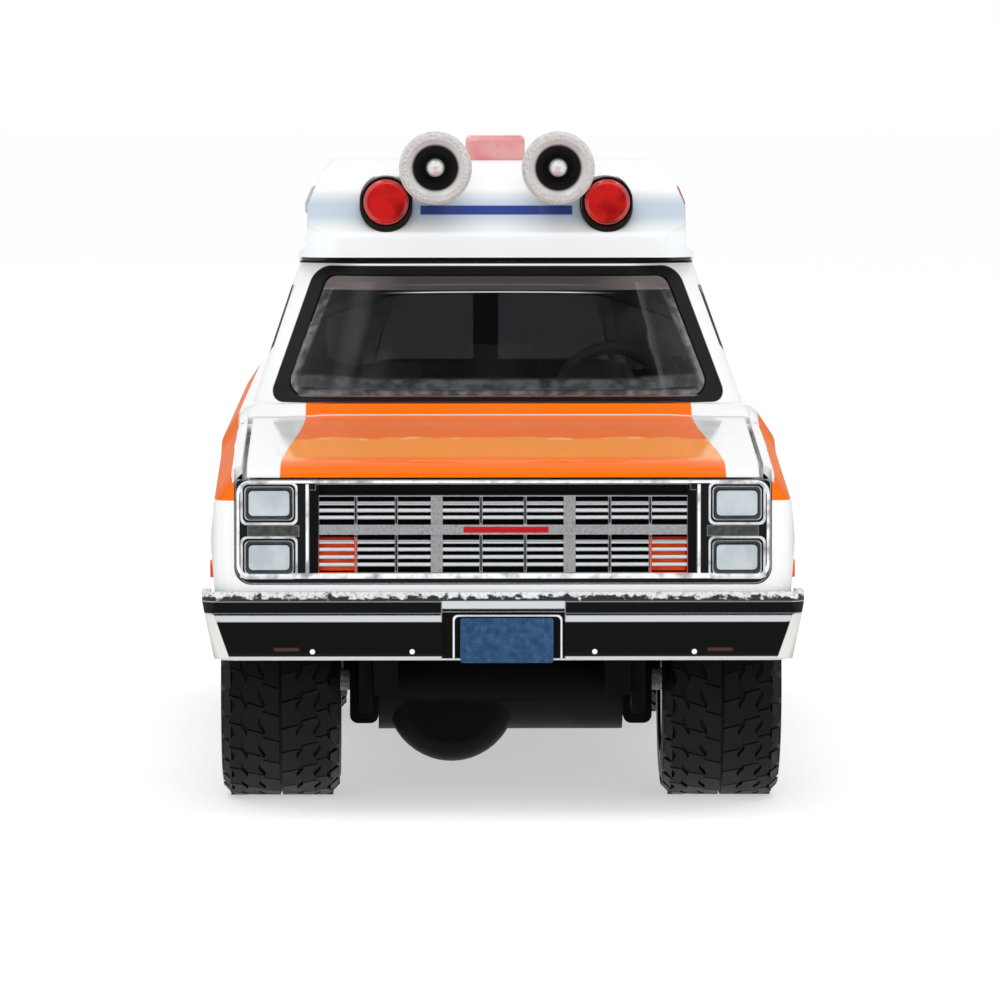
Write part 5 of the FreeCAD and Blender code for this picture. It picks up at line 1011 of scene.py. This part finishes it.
def make_repeat_round():
    """Copies of the given mesh round an axle, with their number and the axle's place as inputs."""
    tree = bpy.data.node_groups.new("repeat_round_axle", "GeometryNodeTree")
    face = tree.interface
    face.new_socket("Geometry", in_out="INPUT", socket_type="NodeSocketGeometry")
    face.new_socket("Count", in_out="INPUT", socket_type="NodeSocketInt").default_value = LUGS
    face.new_socket("Centre", in_out="INPUT", socket_type="NodeSocketVector")
    face.new_socket("Material", in_out="INPUT", socket_type="NodeSocketMaterial")
    face.new_socket("Geometry", in_out="OUTPUT", socket_type="NodeSocketGeometry")
    n = Nodes(tree)
    entry = n.new("NodeGroupInput").outputs
    points = n.new("GeometryNodePoints", {"Count": entry["Count"], "Position": entry["Centre"]})
    index = n.new("GeometryNodeInputIndex").outputs[0]
    turn = n.math("DIVIDE", n.times(index, 2 * math.pi), entry["Count"])
    spread = n.new("GeometryNodeInstanceOnPoints", {
        "Points": points.outputs[0], "Instance": entry["Geometry"], "Rotation": n.join(turn, 0.0, 0.0)})
    whole = n.new("GeometryNodeRealizeInstances", {"Geometry": spread.outputs[0]})
    dressed = n.new("GeometryNodeSetMaterial", {
        "Geometry": whole.outputs[0], "Material": entry["Material"]})
    n.new("NodeGroupOutput", {0: dressed.outputs[0]})
    return tree


def set_input(modifier, label, value):
    for item in modifier.node_group.interface.items_tree:
        if item.item_type == "SOCKET" and item.in_out == "INPUT" and item.name == label:
            modifier[item.identifier] = value
            return
    raise KeyError(label)


def bake_nodes(piece, tree, inputs):
    """Runs a node tree on the piece and leaves a plain mesh."""
    modifier = piece.modifiers.new("shape", "NODES")
    modifier.node_group = tree
    for label, value in inputs.items():
        set_input(modifier, label, value)
    plain_mesh(piece)


REPEAT = make_repeat_round()


def merge(target, *others):
    """Adds the other pieces' meshes to the target's and deletes those pieces."""
    shape = bmesh.new()
    shape.from_mesh(target.data)
    for other in others:
        shape.from_mesh(other.data)
    shape.to_mesh(target.data)
    shape.free()
    for other in others:
        bpy.data.objects.remove(other)


def make_tyre(end, side):
    half = TYRE_WIDTH / 2
    centre = Vector((SIDES[side] * (TYRE_OUTER - half), AXLE_DEPTH[end], AXLE_HEIGHT)) * MM
    profile = [(half - inset, r) for inset, r in WALL] + [(inset - half, r) for inset, r in reversed(WALL)]
    carcass = mesh_piece(f"{end}_tyre_{side}_tread", lambda shape: spin_profile(shape, profile, RING_STEPS),
                         TYRE)
    carcass.data.transform(Matrix.Translation(centre))
    carcass.data.shade_smooth()
    carcass.data.set_sharp_from_angle(angle=math.radians(RING_SHARP))
    lugs = mesh_piece("tread_blocks", one_pitch, TYRE)
    bake_nodes(lugs, REPEAT, {"Count": LUGS, "Centre": centre, "Material": TYRE})
    merge(carcass, lugs)
    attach(carcass, f"{end}_axle")
    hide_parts(f"{end}_tyre_{side}")


for end in ENDS:
    for side in SIDES:
        make_tyre(end, side)


# Side lamps of the cap, which stand a little proud of its leaning side

SIDE_LAMP_LOW, SIDE_LAMP_HIGH = edges("roof_side_lamp_left")
LAMP_ROOT, LAMP_FACE = SIDE_LAMP_LOW.x + 0.1, SIDE_LAMP_HIGH.x + 0.07
LAMP_FOOT, LAMP_TOP = SIDE_LAMP_LOW.z + 0.02, SIDE_LAMP_HIGH.z - 0.02
LAMP_SECTION = ((LAMP_ROOT, LAMP_FOOT), (LAMP_FACE - 0.1, LAMP_FOOT), (LAMP_FACE, LAMP_FOOT + 0.1),
                (LAMP_FACE, LAMP_FOOT + 0.6), (LAMP_FACE - 0.37, LAMP_TOP - 0.08),
                (LAMP_FACE - 0.5, LAMP_TOP), (LAMP_ROOT, LAMP_TOP))
LAMP_CHAMFER = 0.1


def side_lamp(shape, sign):
    start, end = SIDE_LAMP_LOW.y + 0.02, SIDE_LAMP_HIGH.y - 0.02
    rows = []
    for depth, inset in ((start, LAMP_CHAMFER), (start + LAMP_CHAMFER, 0.0), (end - LAMP_CHAMFER, 0.0),
                         (end, LAMP_CHAMFER)):
        rows.append([shape.verts.new(Vector((sign * (x - inset * (x > LAMP_ROOT)), depth, z)) * MM)
                     for x, z in LAMP_SECTION])
    skin(shape, rows)


for side, sign in SIDES.items():
    node = f"roof_side_lamp_{side}"
    lamp = mesh_piece(f"{node}_proud", lambda shape, sign=sign: side_lamp(shape, sign), FINISH[node])
    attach(lamp, body_of(node))
    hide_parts(node)


# Spring hangers under the base, between the rails and the wheels

def box(shape, low, high):
    made = bmesh.ops.create_cube(shape, size=1.0)
    for vert in made["verts"]:
        for axis in range(3):
            share = vert.co[axis] + 0.5
            vert.co[axis] = (low[axis] + (high[axis] - low[axis]) * share) * MM


HANGER_INNER, HANGER_TOP = 6.9, 8.7
# Outer edge, start and end from the axle, underside
HANGER_BLOCKS = ((8.48, -2.2, 2.2, 7.0), (7.62, -8.7, -7.6, 5.2))


def hangers(shape):
    for depth in AXLE_DEPTH.values():
        for sign in SIDES.values():
            for outer, start, end, foot in HANGER_BLOCKS:
                near, far = sorted((sign * HANGER_INNER, sign * outer))
                box(shape, (near, depth + start, foot), (far, depth + end, HANGER_TOP))


hanger = mesh_piece("spring_hangers", hangers, BASE)
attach(hanger, body_of("chassis_base"))


# Floor, light and camera, in metres

FLOOR_HALF = 3.0
FLOOR_DARK, FLOOR_PALE = (0.60, 0.60, 0.60, 1), (0.62, 0.62, 0.62, 1)
FLOOR_GLOW = 0.5
LIGHTS = (  # name, place, target, size, power
    ("top_light", (0.0, -0.06, 0.45), (0, 0, 0), (0.5, 0.5), 0.62),
    ("front_fill", (0.0, -0.7, 0.18), (0, 0, 0.02), (0.5, 0.3), 1.3),
)
WALL_LEVEL, LEFT_CEILING, CEILING, CEILING_STRIP = 1.0, 2.6, 0.3, 7.0
STRIP_EDGES = (0.43, 0.46), (0.64, 0.58)
CAMERA_PLACE = (-0.00542, -0.44347, 0.04074)
CAMERA_TILT, CAMERA_TURN, CAMERA_LENS = 3.42, -0.75, 274.8


def area_light(name, place, target, size, power):
    lamp = bpy.data.lights.new(name, "AREA")
    lamp.shape = "RECTANGLE"
    lamp.size, lamp.size_y = size
    lamp.energy = power
    item = bpy.data.objects.new(name, lamp)
    bpy.context.scene.collection.objects.link(item)
    item.location = place
    item.rotation_euler = (Vector(target) - Vector(place)).to_track_quat("-Z", "Y").to_euler()
    item.visible_glossy = False


def make_floor():
    """White paper, which is clear when it is seen from below."""
    material, n, sockets = start_material("floor_paper")
    output = n.tree.get_output_node("ALL").inputs["Surface"]
    from_below = n.new("ShaderNodeNewGeometry").outputs["Backfacing"]
    nothing = n.new("ShaderNodeBsdfTransparent").outputs[0]
    paper = output.links[0].from_socket
    n.put(output, n.new("ShaderNodeMixShader", {0: from_below, 1: paper, 2: nothing}).outputs[0])
    n.put(sockets["Base Color"], n.mix(n.noise(n.place()[0], 0.01, 2.0), FLOOR_DARK, FLOOR_PALE))
    sockets["Roughness"].default_value = 0.9
    sockets["Specular IOR Level"].default_value = 0.0
    sockets["Emission Color"].default_value = (1, 1, 1, 1)
    sockets["Emission Strength"].default_value = FLOOR_GLOW

    def build(shape):
        shape.faces.new([shape.verts.new((across * FLOOR_HALF, away * FLOOR_HALF, 0))
                         for across, away in ((-1, -1), (1, -1), (1, 1), (-1, 1))])
    floor = mesh_piece("floor", build, material)
    floor.visible_glossy = False


def make_world():
    """White tent; reflections show a dark opening, a dim ceiling and one bright strip on it."""
    world = bpy.data.worlds.new("studio")
    bpy.context.scene.world = world
    world.use_nodes = True
    world.node_tree.nodes.clear()
    n = Nodes(world.node_tree)
    direction = n.new("ShaderNodeTexCoord").outputs["Generated"]
    across, away, up = n.new("ShaderNodeSeparateXYZ", {0: direction}).outputs[:]
    ahead = n.step(away, 0.0, -0.3)
    off = n.length(n.join(n.times(across, 0.8), n.times(up, 1.15), 0.0))
    opening = n.all_of(ahead, n.step(off, 0.56, 0.40))
    strip = n.all_of(n.step(across, *STRIP_EDGES[0]), n.step(across, *STRIP_EDGES[1]))
    ceiling = n.blend(strip, n.blend(n.step(across, -0.32, -0.12), LEFT_CEILING, CEILING), CEILING_STRIP)
    tent = n.blend(n.step(up, 0.80, 0.96), WALL_LEVEL, ceiling)
    glossy = n.times(tent, n.without(n.times(opening, 0.98)))
    wide_opening = n.all_of(ahead, n.step(off, 0.9, 0.3))
    aside = n.step(n.size(across), 0.3, 0.85, 0.0, 0.6)
    diffuse = n.minus(n.without(n.times(wide_opening, 0.2)), aside)
    path = n.new("ShaderNodeLightPath").outputs
    level = n.blend(path["Is Glossy Ray"], diffuse, glossy)
    level = n.blend(path["Is Camera Ray"], level, 1.0)
    background = n.new("ShaderNodeBackground", {"Color": (1, 1, 1, 1), "Strength": level})
    n.new("ShaderNodeOutputWorld", {"Surface": background.outputs[0]})


def make_camera():
    camera = bpy.data.cameras.new("camera")
    camera.sensor_width = 36
    camera.lens = CAMERA_LENS
    camera.clip_start, camera.clip_end = 0.01, 20
    item = bpy.data.objects.new("camera", camera)
    bpy.context.scene.collection.objects.link(item)
    item.location = CAMERA_PLACE
    item.rotation_euler = (math.radians(90 - CAMERA_TILT), 0, math.radians(CAMERA_TURN))
    bpy.context.scene.camera = item


make_floor()
make_world()
make_camera()
for light in LIGHTS:
    area_light(*light)
bpy.context.scene.view_settings.view_transform = "Standard"
